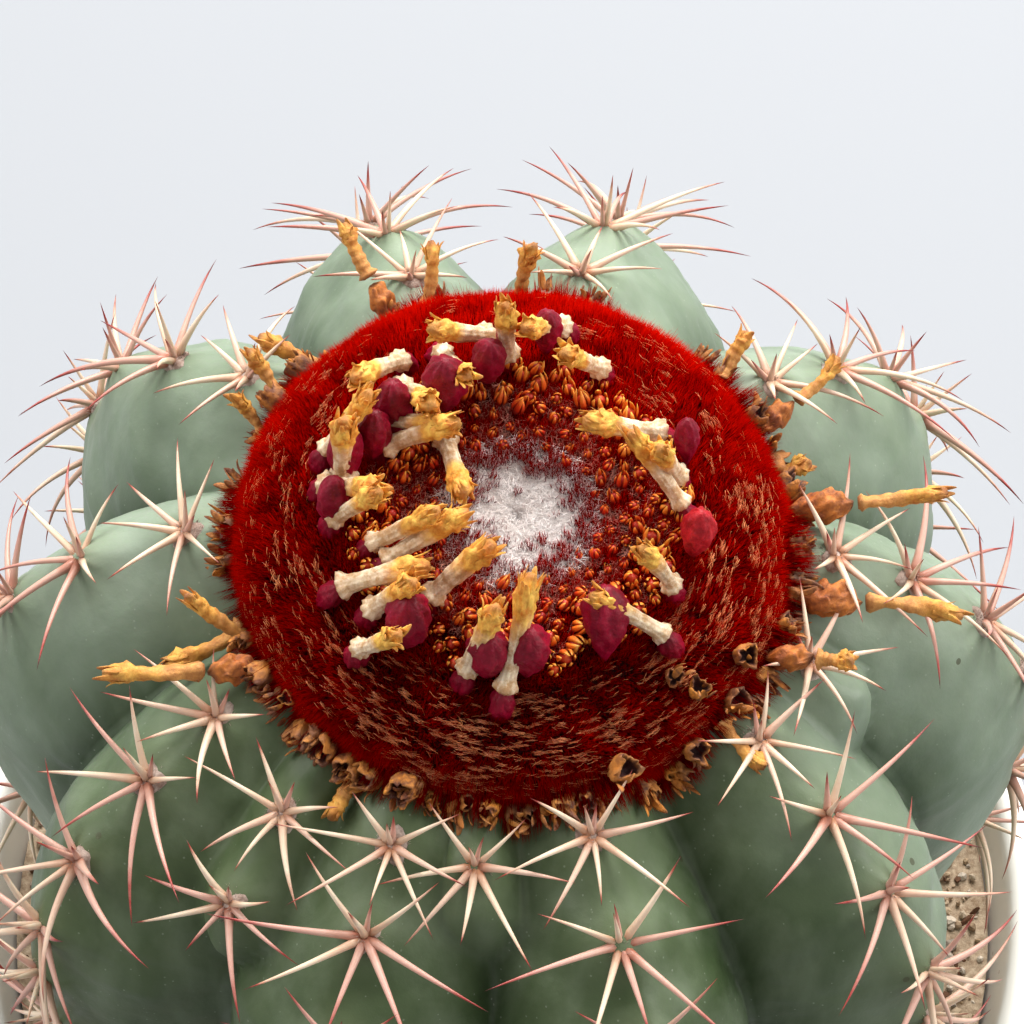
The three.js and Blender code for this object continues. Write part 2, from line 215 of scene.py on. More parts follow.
def swept(paths, radii, sides, axes=None, hint=None, flatten=1.0):
    """Rings of `sides` points round each path, closed at both ends.

    paths is (number, steps, 3). radii is (number, steps) or (number, steps, sides). A point of a ring is
    path + radius x (cos a x side + sin a x flatten x over), with side and over square to the path, or to
    the given axes where a path turns back on itself to make a hollow. A hint turns side towards itself.
    Returns points, faces, and marks: along from 0 to 1 and a tone that is one number for each path.
    """
    number, steps = paths.shape[:2]
    tangent = unit(np.gradient(paths, axis=1)) if axes is None else np.repeat(axes[:, None], steps, 1)
    if hint is None:
        side = unit(np.cross(tangent, not_along(tangent.mean(1))[:, None, :]))
    else:
        side = unit(hint[:, None] - tangent * (tangent * hint[:, None]).sum(-1, keepdims=True))
    over = np.cross(side, tangent)
    angle = turns(sides)
    if radii.ndim == 2:
        radii = np.repeat(radii[..., None], sides, 2)
    across = (radii * np.cos(angle))[..., None] * side[:, :, None]
    upward = (radii * np.sin(angle) * flatten)[..., None] * over[:, :, None]
    rings = paths[:, :, None] + across + upward
    ends = paths[:, [0, -1]]
    points = np.concatenate([rings.reshape(number, -1, 3), ends], 1)
    index = np.arange(steps * sides).reshape(steps, sides)
    after = np.roll(index, -1, 1)
    quads = np.stack([index[:-1], index[1:], after[1:], after[:-1]], -1).reshape(-1, 4)
    first, last = steps * sides, steps * sides + 1
    caps = np.concatenate([
        np.stack([np.full(sides, first), index[0], after[0]], -1),
        np.stack([np.full(sides, last), after[-1], index[-1]], -1),
    ])
    shift = (np.arange(number) * (steps * sides + 2))[:, None, None]
    faces = [(quads[None] + shift).reshape(-1, 4), (caps[None] + shift).reshape(-1, 3)]
    along = np.repeat(np.linspace(0, 1, steps), sides)
    along = np.tile(np.concatenate([along, [0, 1]]), number)
    tone = np.repeat(varied(np.arange(number) * 1.7 + 3), steps * sides + 2)
    return points.reshape(-1, 3), faces, {"along": along, "tone": tone}


rod = swept(np.linspace([0, 0, 0], [0, 0, 1.0], 14)[None], np.ones((1, 14)), 8)
print("a rod of 14 rings of 8 takes", len(rod[0]), "points")

# %% Hairs and needles in one go
def hair_feet(directions, thickness):
    """Three corners round each root, square to its direction."""
    side = unit(np.cross(directions, not_along(directions)))
    over = np.cross(side, directions)
    corner = 2 * np.pi * np.arange(3) / 3 + 0.7
    ring = np.cos(corner)[:, None] * side[:, None] + np.sin(corner)[:, None] * over[:, None]
    return ring * thickness, side


def hairs(roots, directions, lengths, thickness, bend=0.0, tones=None):
    """Each hair is a spike with a three-cornered foot, a three-cornered waist and a point.

    The waist sits half way up, moved sideways by bend x length, so a hair is slightly curved.
    """
    number = len(roots)
    lengths = np.broadcast_to(lengths, number)[:, None]
    ring, side = hair_feet(directions, thickness)
    waist = roots + directions * lengths * 0.5 + side * lengths * bend
    points = np.concatenate([
        roots[:, None] + ring,
        waist[:, None] + ring * 0.8,
        (roots + directions * lengths)[:, None],
    ], 1)
    pattern = np.array([
        [0, 1, 2], [0, 4, 1], [0, 3, 4], [1, 5, 2], [1, 4, 5], [2, 3, 0], [2, 5, 3],
        [3, 6, 4], [4, 6, 5], [5, 6, 3],
    ])
    faces = (pattern[None] + 7 * np.arange(number)[:, None, None]).reshape(-1, 3)
    if tones is None:
        tones = varied(np.arange(number) * 0.77 + 9)
    marks = {"along": np.tile([0, 0, 0, 0.5, 0.5, 0.5, 1], number), "tone": np.repeat(tones, 7)}
    return points.reshape(-1, 3), [faces], marks


def needles(roots, directions, lengths, thickness, tones):
    """Each needle is a straight three-sided spike: four corners and four faces."""
    number = len(roots)
    ring, _ = hair_feet(directions, thickness)
    tips = (roots + directions * lengths[:, None])[:, None]
    points = np.concatenate([roots[:, None] + ring, tips], 1)
    pattern = np.array([[0, 1, 2], [1, 0, 3], [2, 1, 3], [0, 2, 3]])
    faces = (pattern[None] + 4 * np.arange(number)[:, None, None]).reshape(-1, 3)
    marks = {"along": np.tile([0, 0, 0, 1], number), "tone": np.repeat(tones, 4)}
    return points.reshape(-1, 3), [faces], marks


# %% [markdown]
# ## Material helpers
#
# Colours are written as the eye reads them, from 0 to 255, and turned to the linear values that light is
# summed in. The mottle, fleck and grain effects come back on skin, glaze, grit and petals, so each is a
# node group that puts out only a colour, a mask or a height.

# %% Colours
def colour(red, green, blue):
    """A display colour from 0 to 255 as linear light, with full alpha."""
    value = np.array([red, green, blue]) / 255
    linear = np.where(value <= 0.04045, value / 12.92, ((value + 0.055) / 1.055) ** 2.4)
    return (*[float(v) for v in linear], 1.0)


def grey(level):
    """A linear grey, for ramps that make a mask or a roughness."""
    return (level, level, level, 1)


print("a display grey of 128 is", round(colour(128, 128, 128)[0], 3), "in linear light")

# %% Nodes and their links
def connect(tree, socket, value):
    """Links an output to a socket, or sets the socket's own value."""
    if isinstance(value, bpy.types.NodeSocket):
        tree.links.new(value, socket)
    else:
        socket.default_value = value


def add(tree, kind, settings=None, inputs=None):
    """A new node with its settings and its inputs filled in."""
    node = tree.nodes.new(kind)
    for key, value in (settings or {}).items():
        setattr(node, key, value)
    for key, value in (inputs or {}).items():
        connect(tree, node.inputs[key], value)
    return node


def mixed(tree, factor, first, second, blend="MIX"):
    """Two colours mixed by a factor."""
    node = add(tree, "ShaderNodeMix", {"data_type": "RGBA", "blend_type": blend})
    for index, value in ((0, factor), (6, first), (7, second)):
        connect(tree, node.inputs[index], value)
    return node.outputs[2]


def maths(tree, operation, first, second=0.5):
    """One sum on two numbers."""
    node = add(tree, "ShaderNodeMath", {"operation": operation})
    connect(tree, node.inputs[0], first)
    connect(tree, node.inputs[1], second)
    return node.outputs[0]


def ramp(tree, factor, stops):
    """A colour ramp with its stops."""
    node = add(tree, "ShaderNodeValToRGB", inputs={"Fac": factor})
    elements = node.color_ramp.elements
    while len(elements) < len(stops):
        elements.new(0.5)
    for element, (place, shade) in zip(elements, stops):
        element.position = place
        element.color = shade
    return node.outputs["Color"]


def position(tree):
    """Place on the object, in metres."""
    return add(tree, "ShaderNodeTexCoord").outputs["Object"]


def mark(tree, name):
    """A number carried by the vertices."""
    return add(tree, "ShaderNodeAttribute", {"attribute_name": name}).outputs["Fac"]


# %% A material to start from
def new_material(name, roughness=0.6, **sockets):
    """A Principled material, its tree and its shader. Sockets are named with _ for each space."""
    material = bpy.data.materials.new(name)
    material.use_nodes = True
    tree = material.node_tree
    shader = tree.nodes["Principled BSDF"]
    shader.inputs["Roughness"].default_value = roughness
    for key, value in sockets.items():
        shader.inputs[key.replace("_", " ")].default_value = value
    return material, tree, shader


def unsettled(tree, along, scale, amount):
    """A mark moved up and down by a noise, so that a change of colour has no straight edge."""
    noise = add(tree, "ShaderNodeTexNoise", inputs={
        "Vector": position(tree), "Scale": scale, "Detail": 3.0})
    centred = maths(tree, "SUBTRACT", noise.outputs["Fac"], 0.5)
    return maths(tree, "ADD", along, maths(tree, "MULTIPLY", centred, amount))


# %% Shared effects as node groups
def new_group(name, inputs, outputs):
    """An empty node group with named inputs and outputs."""
    group = bpy.data.node_groups.new(name, "ShaderNodeTree")
    for label, kind, value in inputs:
        socket = group.interface.new_socket(label, in_out="INPUT", socket_type=kind)
        if value is not None:
            socket.default_value = value
    for label, kind in outputs:
        group.interface.new_socket(label, in_out="OUTPUT", socket_type=kind)
    return group, group.nodes.new("NodeGroupInput"), group.nodes.new("NodeGroupOutput")


def make_mottle():
    """Cloudy patches at two scales: out come a mask and the two colours mixed by it."""
    group, source, result = new_group("mottle", [
        ("Vector", "NodeSocketVector", None), ("Scale", "NodeSocketFloat", 100.0),
        ("Contrast", "NodeSocketFloat", 2.0),
        ("First", "NodeSocketColor", None), ("Second", "NodeSocketColor", None),
    ], [("Color", "NodeSocketColor"), ("Mask", "NodeSocketFloat")])
    coarse = add(group, "ShaderNodeTexNoise", inputs={
        "Vector": source.outputs["Vector"], "Scale": source.outputs["Scale"], "Detail": 4.0})
    finer = maths(group, "MULTIPLY", source.outputs["Scale"], 4.3)
    fine = add(group, "ShaderNodeTexNoise", inputs={
        "Vector": source.outputs["Vector"], "Scale": finer, "Detail": 3.0})
    both = maths(group, "ADD", coarse.outputs["Fac"], maths(group, "MULTIPLY", fine.outputs["Fac"], 0.4))
    centred = maths(group, "SUBTRACT", both, 0.7)
    spread = maths(group, "MULTIPLY", centred, source.outputs["Contrast"])
    clipped = add(group, "ShaderNodeClamp", inputs={"Value": maths(group, "ADD", spread, 0.5)})
    mask = clipped.outputs["Result"]
    connect(group, result.inputs["Mask"], mask)
    both_colours = mixed(group, mask, source.outputs["First"], source.outputs["Second"])
    connect(group, result.inputs["Color"], both_colours)
    return group


def make_flecks():
    """Small separate spots: 1 inside a spot, 0 between them, and only some cells have one."""
    group, source, result = new_group("flecks", [
        ("Vector", "NodeSocketVector", None), ("Scale", "NodeSocketFloat", 500.0),
        ("Size", "NodeSocketFloat", 0.25), ("Share", "NodeSocketFloat", 0.5),
    ], [("Mask", "NodeSocketFloat")])
    cells = add(group, "ShaderNodeTexVoronoi", inputs={
        "Vector": source.outputs["Vector"], "Scale": source.outputs["Scale"]})
    inside = maths(group, "LESS_THAN", cells.outputs["Distance"], source.outputs["Size"])
    red = add(group, "ShaderNodeSeparateColor", inputs={"Color": cells.outputs["Color"]}).outputs[0]
    chosen = maths(group, "LESS_THAN", red, source.outputs["Share"])
    connect(group, result.inputs["Mask"], maths(group, "MULTIPLY", inside, chosen))
    return group


def make_grain():
    """Fine unevenness from two noises: a height from 0 to 1."""
    group, source, result = new_group("grain", [
        ("Vector", "NodeSocketVector", None), ("Scale", "NodeSocketFloat", 800.0),
        ("Roughness", "NodeSocketFloat", 0.6),
    ], [("Height", "NodeSocketFloat")])
    noise = add(group, "ShaderNodeTexNoise", inputs={
        "Vector": source.outputs["Vector"], "Scale": source.outputs["Scale"],
        "Detail": 5.0, "Roughness": source.outputs["Roughness"]})
    connect(group, result.inputs["Height"], noise.outputs["Fac"])
    return group


MOTTLE, FLECKS, GRAIN = make_mottle(), make_flecks(), make_grain()
print("node groups:", [group.name for group in bpy.data.node_groups])

# %% Placing the shared effects
def use(tree, group, **inputs):
    """Places a shared group in a material with its own values."""
    return add(tree, "ShaderNodeGroup", {"node_tree": group}, inputs)


def mottled(tree, scale, contrast, first, second):
    """The two colours in cloudy patches over the object, and the mask that mixes them."""
    node = use(tree, MOTTLE, Vector=position(tree), Scale=scale, Contrast=contrast,
               First=first, Second=second)
    return node.outputs["Color"], node.outputs["Mask"]


def flecked(tree, scale, size, share, strength=1.0):
    """A mask of small spots at a strength."""
    spots = use(tree, FLECKS, Vector=position(tree), Scale=scale, Size=size, Share=share)
    return maths(tree, "MULTIPLY", spots.outputs["Mask"], strength)


def roughened(tree, shader, scale, distance, roughness=0.6, strength=1.0):
    """Bump from the fine grain, with its depth in millimetres."""
    grain = use(tree, GRAIN, Vector=position(tree), Scale=scale, Roughness=roughness)
    bump = add(tree, "ShaderNodeBump", inputs={
        "Height": grain.outputs["Height"], "Distance": distance * MM, "Strength": strength})
    connect(tree, shader.inputs["Normal"], bump.outputs["Normal"])


# %% [markdown]
# ## Camera, floor and light
#
# The camera looks down on the cap from the front, quite close, so the plant shows strong perspective. The
# light is a bright room: an even pale sky, one large soft lamp high behind the plant and a weaker one on
# each side, so the back is bright and the ribs at the front fall into shade. The floor is plain and pale.

# %% Camera
CAMERA_ELEVATION = np.radians(56)
CAMERA_DISTANCE = 440.0
CAMERA_LENS = 109.3
AIM_OFFSET = np.array([-0.8, 0.0, -0.3])

camera_data = bpy.data.cameras.new("camera")
camera_data.lens = CAMERA_LENS
camera_data.sensor_width = 36.0
camera = bpy.data.objects.new("camera", camera_data)
bpy.context.scene.collection.objects.link(camera)
towards_camera = np.array([0, -np.cos(CAMERA_ELEVATION), np.sin(CAMERA_ELEVATION)])
camera.location = (GROWING_POINT + AIM_OFFSET + CAMERA_DISTANCE * towards_camera) * MM
camera.rotation_euler = (np.pi / 2 - CAMERA_ELEVATION, 0, 0)
bpy.context.scene.camera = camera
print("camera at", [round(v, 3) for v in camera.location])

# %% Light and floor
def soft_lamp(name, place, aim, size, power, tint):
    """A square area lamp at a place, in metres, pointed at a target."""
    data = bpy.data.lights.new(name, "AREA")
    data.size = size
    data.energy = power
    data.color = tint
    lamp = bpy.data.objects.new(name, data)
    bpy.context.scene.collection.objects.link(lamp)
    lamp.location = place
    direction = lamp.location - type(lamp.location)(aim)
    lamp.rotation_euler = direction.to_track_quat("Z", "Y").to_euler()
    return lamp


crown_place = tuple(GROWING_POINT * MM)
soft_lamp("window", (0.20, 0.90, 1.15), crown_place, 0.9, 38.0, (1.0, 0.975, 0.94))
soft_lamp("side", (1.15, -0.05, 0.75), crown_place, 0.8, 11.0, (1.0, 0.985, 0.96))
soft_lamp("other_side", (-0.95, 0.15, 0.95), crown_place, 0.7, 9.0, (1.0, 0.985, 0.96))

world = bpy.data.worlds.new("room")
world.use_nodes = True
sky = world.node_tree.nodes["Background"]
sky.inputs["Color"].default_value = (1.0, 0.985, 0.965, 1)
sky.inputs["Strength"].default_value = 0.58
bpy.context.scene.world = world
bpy.context.scene.view_settings.view_transform = "Standard"

FLOOR_REACH = 4.0  # metres from the middle to each side
floor_material, _, _ = new_material(
    "pale_floor", 0.75, Base_Color=(0.296, 0.311, 0.336, 1), Specular_IOR_Level=0.1)
floor_mesh = bpy.data.meshes.new("floor")
floor_corners = [(x * FLOOR_REACH, y * FLOOR_REACH, 0) for x, y in ((-1, -1), (1, -1), (1, 1), (-1, 1))]
floor_mesh.from_pydata(floor_corners, [], [(0, 1, 2, 3)])
floor_mesh.materials.append(floor_material)
floor = bpy.data.objects.new("floor", floor_mesh)
bpy.context.scene.collection.objects.link(floor)
print("lamps:", [(lamp.name, lamp.energy) for lamp in bpy.data.lights])

# %% [markdown]
# ## The stem
#
# The body is a fleshy store of water with ten ribs. Its rib crests follow one curve in side view: a boxy
# shoulder above the widest level, and a longer taper below it to the foot. Between crests the skin drops
# into sharp furrows. So the skin is the crest curve, moved inwards by a furrow depth that depends on how
# far round from the nearest crest a point is. A lathe could only make a smooth barrel, and sculpting by
# hand wouldn't keep areoles, spines and skin in step, so a formula is the natural tool.

# %% Crest curve
def crest_at(latitude):
    """Radius and height of a crest at a latitude, and its outward normal (across, up).

    The shoulder is a superellipse: (radius/81.5)^2.3 + (height/53)^2.3 = 1. The lower part is an ellipse.
    """
    latitude = np.asarray(latitude, float)
    across = np.cos(np.radians(latitude))
    up = np.sin(np.radians(np.abs(latitude)))
    above = latitude > 0
    power = np.where(above, SHOULDER_POWER, 2.0)
    reach = np.where(above, SHOULDER_HEIGHT, FOOT_HEIGHT)
    radius = STEM_RADIUS * across ** (2 / power)
    height = STEM_WIDEST_Z + np.sign(latitude) * reach * up ** (2 / power)
    normal = unit(np.stack([
        across ** (2 - 2 / power) / STEM_RADIUS,
        np.sign(latitude) * up ** (2 - 2 / power) / reach,
    ], -1))
    return radius, height, normal


crest_latitudes = np.arange(88, -50, -0.25)
crest_radii, crest_heights, _ = crest_at(crest_latitudes)
crest_steps = np.hypot(np.diff(crest_radii), np.diff(crest_heights))
crest_along = np.concatenate([[0], np.cumsum(crest_steps)])
crest_along -= crest_along[np.argmax(crest_radii >= AREOLE_START_RADIUS)]
print("a crest is", round(crest_along[-1] - crest_along[0]), "mm long")

# %% Furrow depth and the skin as one function
def round_offset(azimuth, centre):
    """Signed angle from centre to azimuth, from -180 to 180."""
    return (azimuth - centre + 540) % 360 - 180


def furrow_depth(azimuth, latitude):
    """Depth of the skin below the crest surface: depth x (share of the way to the furrow)^1.7.

    A young rib fills the furrow it grows in with its own, narrower crest and sinks away lower down.
    """
    shallow = np.where(
        latitude > 0,
        1 - np.sin(np.radians(np.maximum(latitude, 0))) ** 6,
        1 - 0.5 * np.sin(np.radians(np.maximum(-latitude, 0))) ** 1.5,
    )
    depth = RIB_DEPTH * shallow
    nearest = np.ones(np.broadcast(azimuth, latitude).shape)
    for rib, crest in enumerate(RIB_AZIMUTHS):
        offset = round_offset(azimuth, crest)
        gap_after = abs(round_offset(RIB_AZIMUTHS[(rib + 1) % len(RIB_AZIMUTHS)], crest)) / 2
        gap_before = abs(round_offset(RIB_AZIMUTHS[rib - 1], crest)) / 2
        share = np.abs(offset) / np.where(offset > 0, gap_after, gap_before)
        nearest = np.minimum(nearest, share)
    below = depth * nearest ** RIB_POWER
    along = np.interp(-latitude, -crest_latitudes, crest_along)
    for centre, half_width, length, _ in YOUNG_RIBS:
        offset = np.abs(round_offset(azimuth, centre)) / half_width
        sunk = 0.12 + 0.9 * smoothstep(along, length * 0.55, length * 1.15)
        below = np.minimum(below, depth * (sunk + offset ** RIB_POWER))
    return below


def skin_point(azimuth, latitude, grow=0.0):
    """Points on the skin: crest point, less furrow depth along the crest's normal, then the lean."""
    azimuth, latitude = np.broadcast_arrays(np.asarray(azimuth, float), np.asarray(latitude, float))
    radius, height, normal = crest_at(latitude)
    depth = furrow_depth(azimuth, latitude) - grow
    points = outward(azimuth) * (radius - normal[..., 0] * depth)[..., None]
    lean = CROWN_LEAN * np.maximum(0, np.sin(np.radians(latitude)))
    points[..., 2] = height - normal[..., 1] * depth + lean * points[..., 1]
    return points


print("the front of the skin at its widest:", skin_point(0, 0).round(1))

# %% [markdown]
# ## Where the areoles are
#
# An areole is the cushion that a cactus grows its spines from. They come in rows down each crest at even
# steps, here about 15 mm. Each one gets its own small frame of directions: up the rib, sideways, and away
# from the skin.

# %% Areole places and directions
AREOLE_ROWS = 7


def areole_frame(azimuth, along):
    """Place on the skin, and unit vectors sideways, up the rib, and away from the skin."""
    latitude = np.interp(along, crest_along, crest_latitudes)
    place = skin_point(azimuth, latitude)
    up_rib = unit(skin_point(azimuth, latitude + 1) - skin_point(azimuth, latitude - 1))
    sideways = unit(np.cross(up_rib, outward(np.asarray(azimuth, float))))
    away = unit(np.cross(sideways, up_rib))
    return place, sideways, up_rib, away


areoles = []
for rib, azimuth in enumerate(RIB_AZIMUTHS):
    for row in range(AREOLE_ROWS):
        seed = 100 * (rib + 1) + 10 * row
        along = AREOLE_FIRST + AREOLE_SPACING * row + 3 * (varied(seed + 5) - 0.5)
        areoles.append({"rib": rib, "row": row, "seed": seed, "azimuth": azimuth, "along": along,
                        "size": 0.75 if row == 0 else 1.0})
for rib, (azimuth, _, _, places) in enumerate(YOUNG_RIBS):
    for row, along in enumerate(places):
        areoles.append({"rib": len(RIB_AZIMUTHS) + rib, "row": row, "seed": 2000 + 100 * rib + 10 * row,
                        "azimuth": float(azimuth), "along": float(along), "size": 0.75})
for areole in areoles:
    areole["frame"] = areole_frame(areole["azimuth"], areole["along"])
areole_places = np.array([areole["frame"][0] for areole in areoles])
print(len(areoles), "areoles")

# %% [markdown]
# ## The skin itself
#
# The skin is waxy and blue-green with a pale bloom that rubs off, and corky near the soil. Its furrows
# are painted darker as shade, and the front is painted darker too, partly as worn bloom and partly as
# shade. The mesh is fine enough to hold the swelling round each areole and faint unevenness, and it
# carries three marks for the material: how deep in a furrow a point is, which sets the painted furrow
# shade, how close it is to an areole, and how much of its bloom is left, which also carries the painted
# shade of the front.

# %% A smooth random field
CELLS_ROUND = 66  # lattice steps once round the plant


def steps_round(azimuth, cells=CELLS_ROUND):
    """How many lattice steps round the plant an azimuth is."""
    return np.mod(azimuth, 360) / 360 * cells


def cloud(across, down, seed, cells=CELLS_ROUND):
    """Smooth random field from 0 to 1: a chance number on each lattice corner, blended between corners.

    The lattice closes on itself after `cells` steps across, so the field has no seam round the cap.
    """
    left, top = np.floor(across), np.floor(down)
    right_share, low_share = across - left, down - top
    right_share = right_share * right_share * (3 - 2 * right_share)
    low_share = low_share * low_share * (3 - 2 * low_share)

    def corner(step_across, step_down):
        place = np.mod(left + step_across, cells)
        return varied(place * 12.71 + (top + step_down) * 31.17 + seed * 7.47)

    upper = corner(0, 0) * (1 - right_share) + corner(1, 0) * right_share
    lower = corner(0, 1) * (1 - right_share) + corner(1, 1) * right_share
    return upper * (1 - low_share) + lower * low_share


print("the field at four places:", cloud(1.3 * np.arange(4), np.zeros(4), 1).round(2))

# %% Stem mesh
COLUMNS_PER_RIB = 36
STEM_ROWS = 165


def stem_grid():
    """Points of the skin on a grid: rows evenly spaced down the crest, columns crest to crest."""
    share = np.arange(COLUMNS_PER_RIB) / COLUMNS_PER_RIB
    gaps = (np.roll(RIB_AZIMUTHS, -1) - RIB_AZIMUTHS) % 360
    azimuths = (RIB_AZIMUTHS[:, None] + gaps[:, None] * share).ravel()
    foot_latitude = -np.degrees(np.arcsin((STEM_WIDEST_Z - STEM_FOOT) / FOOT_HEIGHT))
    top_along, foot_along = np.interp([-76, -foot_latitude], -crest_latitudes, crest_along)
    latitudes = np.interp(np.linspace(top_along, foot_along, STEM_ROWS), crest_along, crest_latitudes)
    azimuth, latitude = np.meshgrid(azimuths, latitudes)
    return azimuth, latitude, skin_point(azimuth, latitude)


def add_skin_detail(grid, azimuth, latitude):
    """Moves points along their normals: a swelling of 1.4 mm round each areole, swells and dimples."""
    down = np.gradient(grid, axis=0)
    round_ = np.roll(grid, -1, 1) - np.roll(grid, 1, 1)
    normal = unit(np.cross(down, round_))
    closeness = np.zeros(grid.shape[:2])
    for place in areole_places:
        distance = np.linalg.norm(grid - place, axis=-1)
        closeness = np.maximum(closeness, hump(distance, 5.0))
    across = steps_round(azimuth)
    swell = cloud(across, latitude * 0.13 + 30, 12) - 0.5
    dimples = cloud(across * 3, latitude * 0.45 + 30, 13, 198) - 0.5
    lift = 1.4 * closeness + 1.5 * swell + 0.34 * dimples
    return grid + normal * lift[..., None], closeness


stem_azimuth, stem_latitude, stem_points = stem_grid()
stem_points, stem_closeness = add_skin_detail(stem_points, stem_azimuth, stem_latitude)
stem_furrow = furrow_depth(stem_azimuth, stem_latitude) / RIB_DEPTH
# The bloom mark is partly real and partly painted shade: the skin keeps less bloom towards the front, and
# that darker front also stands for the shade on the side that faces away from the lamp.
bare_edge_wobble = 10 * (cloud(steps_round(stem_azimuth), stem_latitude * 0.13 + 50, 14) - 0.5)
SHADED_BARE_AZIMUTH = 350  # the middle of the side where the bloom has worn off and the skin is painted darkest, as shade
stem_bloom_and_shade = smoothstep(np.abs(round_offset(stem_azimuth, SHADED_BARE_AZIMUTH)) + bare_edge_wobble, 42, 86)
print("stem made here:", stem_points.min((0, 1)).round(1), stem_points.max((0, 1)).round(1))
print("stem in frame: ", box_mm("stem")[0].round(1), box_mm("stem")[1].round(1))

# %% Stem material
def make_stem_material():
    """Green skin under a pale bloom, worn and painted in shade at the front: painted furrow shade, streaks,
    pale pores, brown scars, corky foot.
    """
    material, tree, shader = new_material(
        "stem_skin", 0.5, Specular_IOR_Level=0.3, Subsurface_Weight=0.10,
        Subsurface_Radius=(0.4, 0.9, 0.3), Subsurface_Scale=2.0 * MM)
    place = position(tree)
    # Painted shade: the bare colours stand for the shaded front as well as for worn bloom; the waxy ones for
    # the paler, lit back.
    bare, patches = mottled(tree, 38.0, 1.7, colour(50, 68, 36), colour(88, 103, 72))
    waxy_and_lit, _ = mottled(tree, 45.0, 1.7, colour(104, 121, 99), colour(140, 154, 137))
    skin_colour = mixed(tree, mark(tree, "bloom_and_front_shade"), bare, waxy_and_lit)
    # Painted shade: the skin darkens towards the bottom of each furrow.
    furrow = ramp(tree, mark(tree, "furrow"), [(0.0, grey(0)), (0.45, grey(0.12)), (1.0, grey(0.85))])
    shaded = mixed(tree, furrow, skin_colour, colour(38, 56, 28))
    streaks = add(tree, "ShaderNodeTexNoise", inputs={
        "Vector": add(tree, "ShaderNodeMapping", inputs={
            "Vector": place, "Scale": (1.0, 1.0, 0.25)}).outputs[0],
        "Scale": 120.0, "Detail": 6.0})
    streak_mask = ramp(tree, streaks.outputs["Fac"], [(0.45, grey(0)), (0.75, grey(0.35))])
    streaked = mixed(tree, streak_mask, shaded, colour(136, 150, 126))
    speckled = mixed(tree, flecked(tree, 800.0, 0.13, 0.3, 0.18), streaked, colour(190, 202, 184))
    scarred = mixed(tree, flecked(tree, 120.0, 0.07, 0.14, 0.8), speckled, colour(66, 66, 46))
    low = add(tree, "ShaderNodeSeparateXYZ", inputs={"Vector": place}).outputs["Z"]
    foot = add(tree, "ShaderNodeMapRange", inputs={
        "Value": low, "From Min": (GRIT_TOP + 26) * MM, "From Max": (GRIT_TOP + 2) * MM,
        "To Min": 0.0, "To Max": 0.75}).outputs["Result"]
    rough_edge = maths(tree, "MULTIPLY", foot, streaks.outputs["Fac"])
    corky = mixed(tree, rough_edge, scarred, colour(150, 128, 92))
    halo = maths(tree, "MULTIPLY", mark(tree, "areole"), 0.3)
    haloed = mixed(tree, halo, corky, colour(122, 136, 102))
    connect(tree, shader.inputs["Base Color"], haloed)
    connect(tree, shader.inputs["Roughness"], ramp(tree, patches, [(0.2, grey(0.42)), (0.9, grey(0.62))]))
    roughened(tree, shader, 700.0, 0.12, strength=0.7)
    return material


stem_skin, stem_faces = closed_skin(stem_points)
pole_marks = [0.0, 0.0]
make_piece("stem_skin", stem_skin, stem_faces, make_stem_material(), ["stem"], marks={
    "furrow": np.append(stem_furrow.ravel(), pole_marks),
    "bloom_and_front_shade": np.append(stem_bloom_and_shade.ravel(), pole_marks),
    "areole": np.append(stem_closeness.ravel(), pole_marks)})

# %% [markdown]
# ## Spines
#
# A spine is a hard awl of horn, cream or pink in the middle, tan at its root and dark red at its sharp
# end. Each areole holds a star: long ones out to the sides and down, shorter ones upwards, and a central
# one that stands off. A spine leaves its pad at a rise above the skin and then bends back. All the
# spines of one rib are swept together as one piece, and a rib's piece stands for its areoles' nodes.

# %% Spine shapes
SPINE_THICKNESS = 0.76
# angle from the direction up the rib, rise above the skin, length, and bend back towards the skin
SPINE_STAR = np.array([
    [8, 50, 8, 0.05], [48, 30, 14, 0.16], [97, 24, 20, 0.22], [140, 27, 21, 0.24], [184, 34, 15, 0.20],
    [222, 27, 21, 0.24], [265, 24, 20, 0.22], [312, 30, 14, 0.16], [345, 66, 11, 0.04],
])


def spine_paths(areole, steps=14):
    """Centre lines of one areole's spines.

    A point at a share t of the length L is L t along the spine's own direction, less bend x L x t^2
    towards the skin. Direction = cos(rise) x (along the skin) + sin(rise) x (away from it).
    """
    place, sideways, up_rib, away = areole["frame"]
    seeds = areole["seed"] + np.arange(len(SPINE_STAR))
    angle = np.radians(SPINE_STAR[:, 0] + 16 * (varied(seeds + 0.71) - 0.5))
    rise = np.radians(SPINE_STAR[:, 1] + 14 * (varied(seeds + 0.37) - 0.5))
    length = SPINE_STAR[:, 2] * areole["size"] * (0.85 + 0.3 * varied(seeds))
    bend = SPINE_STAR[:, 3] * (0.4 + 1.2 * varied(seeds + 0.13))
    skinward = np.cos(angle)[:, None] * up_rib + np.sin(angle)[:, None] * sideways
    lateral = np.cos(angle)[:, None] * sideways - np.sin(angle)[:, None] * up_rib
    direction = np.cos(rise)[:, None] * skinward + np.sin(rise)[:, None] * away
    share = np.linspace(0, 1, steps)[None, :, None]
    drop = (bend[:, None, None] * share**2) * away
    sway = ((varied(seeds + 0.53) - 0.5) * 0.14)[:, None, None] * share**2 * lateral[:, None]
    reach = share * direction[:, None] - drop + sway
    root = place + away * 1.1 + 0.9 * np.cos(rise)[:, None, None] * skinward[:, None]
    width = SPINE_THICKNESS * (0.85 + 0.3 * varied(seeds + 0.91)) * (0.72 + 0.28 * length / 20)
    taper = (1 - share[..., 0] ** 1.3) ** 0.9 * (0.84 + 0.38 * np.exp(-share[..., 0] * 14)) + 0.015
    return root + length[:, None, None] * reach, width[:, None] * taper * 0.92


print(len(areoles) * len(SPINE_STAR), "spines in", len(areoles), "stars")

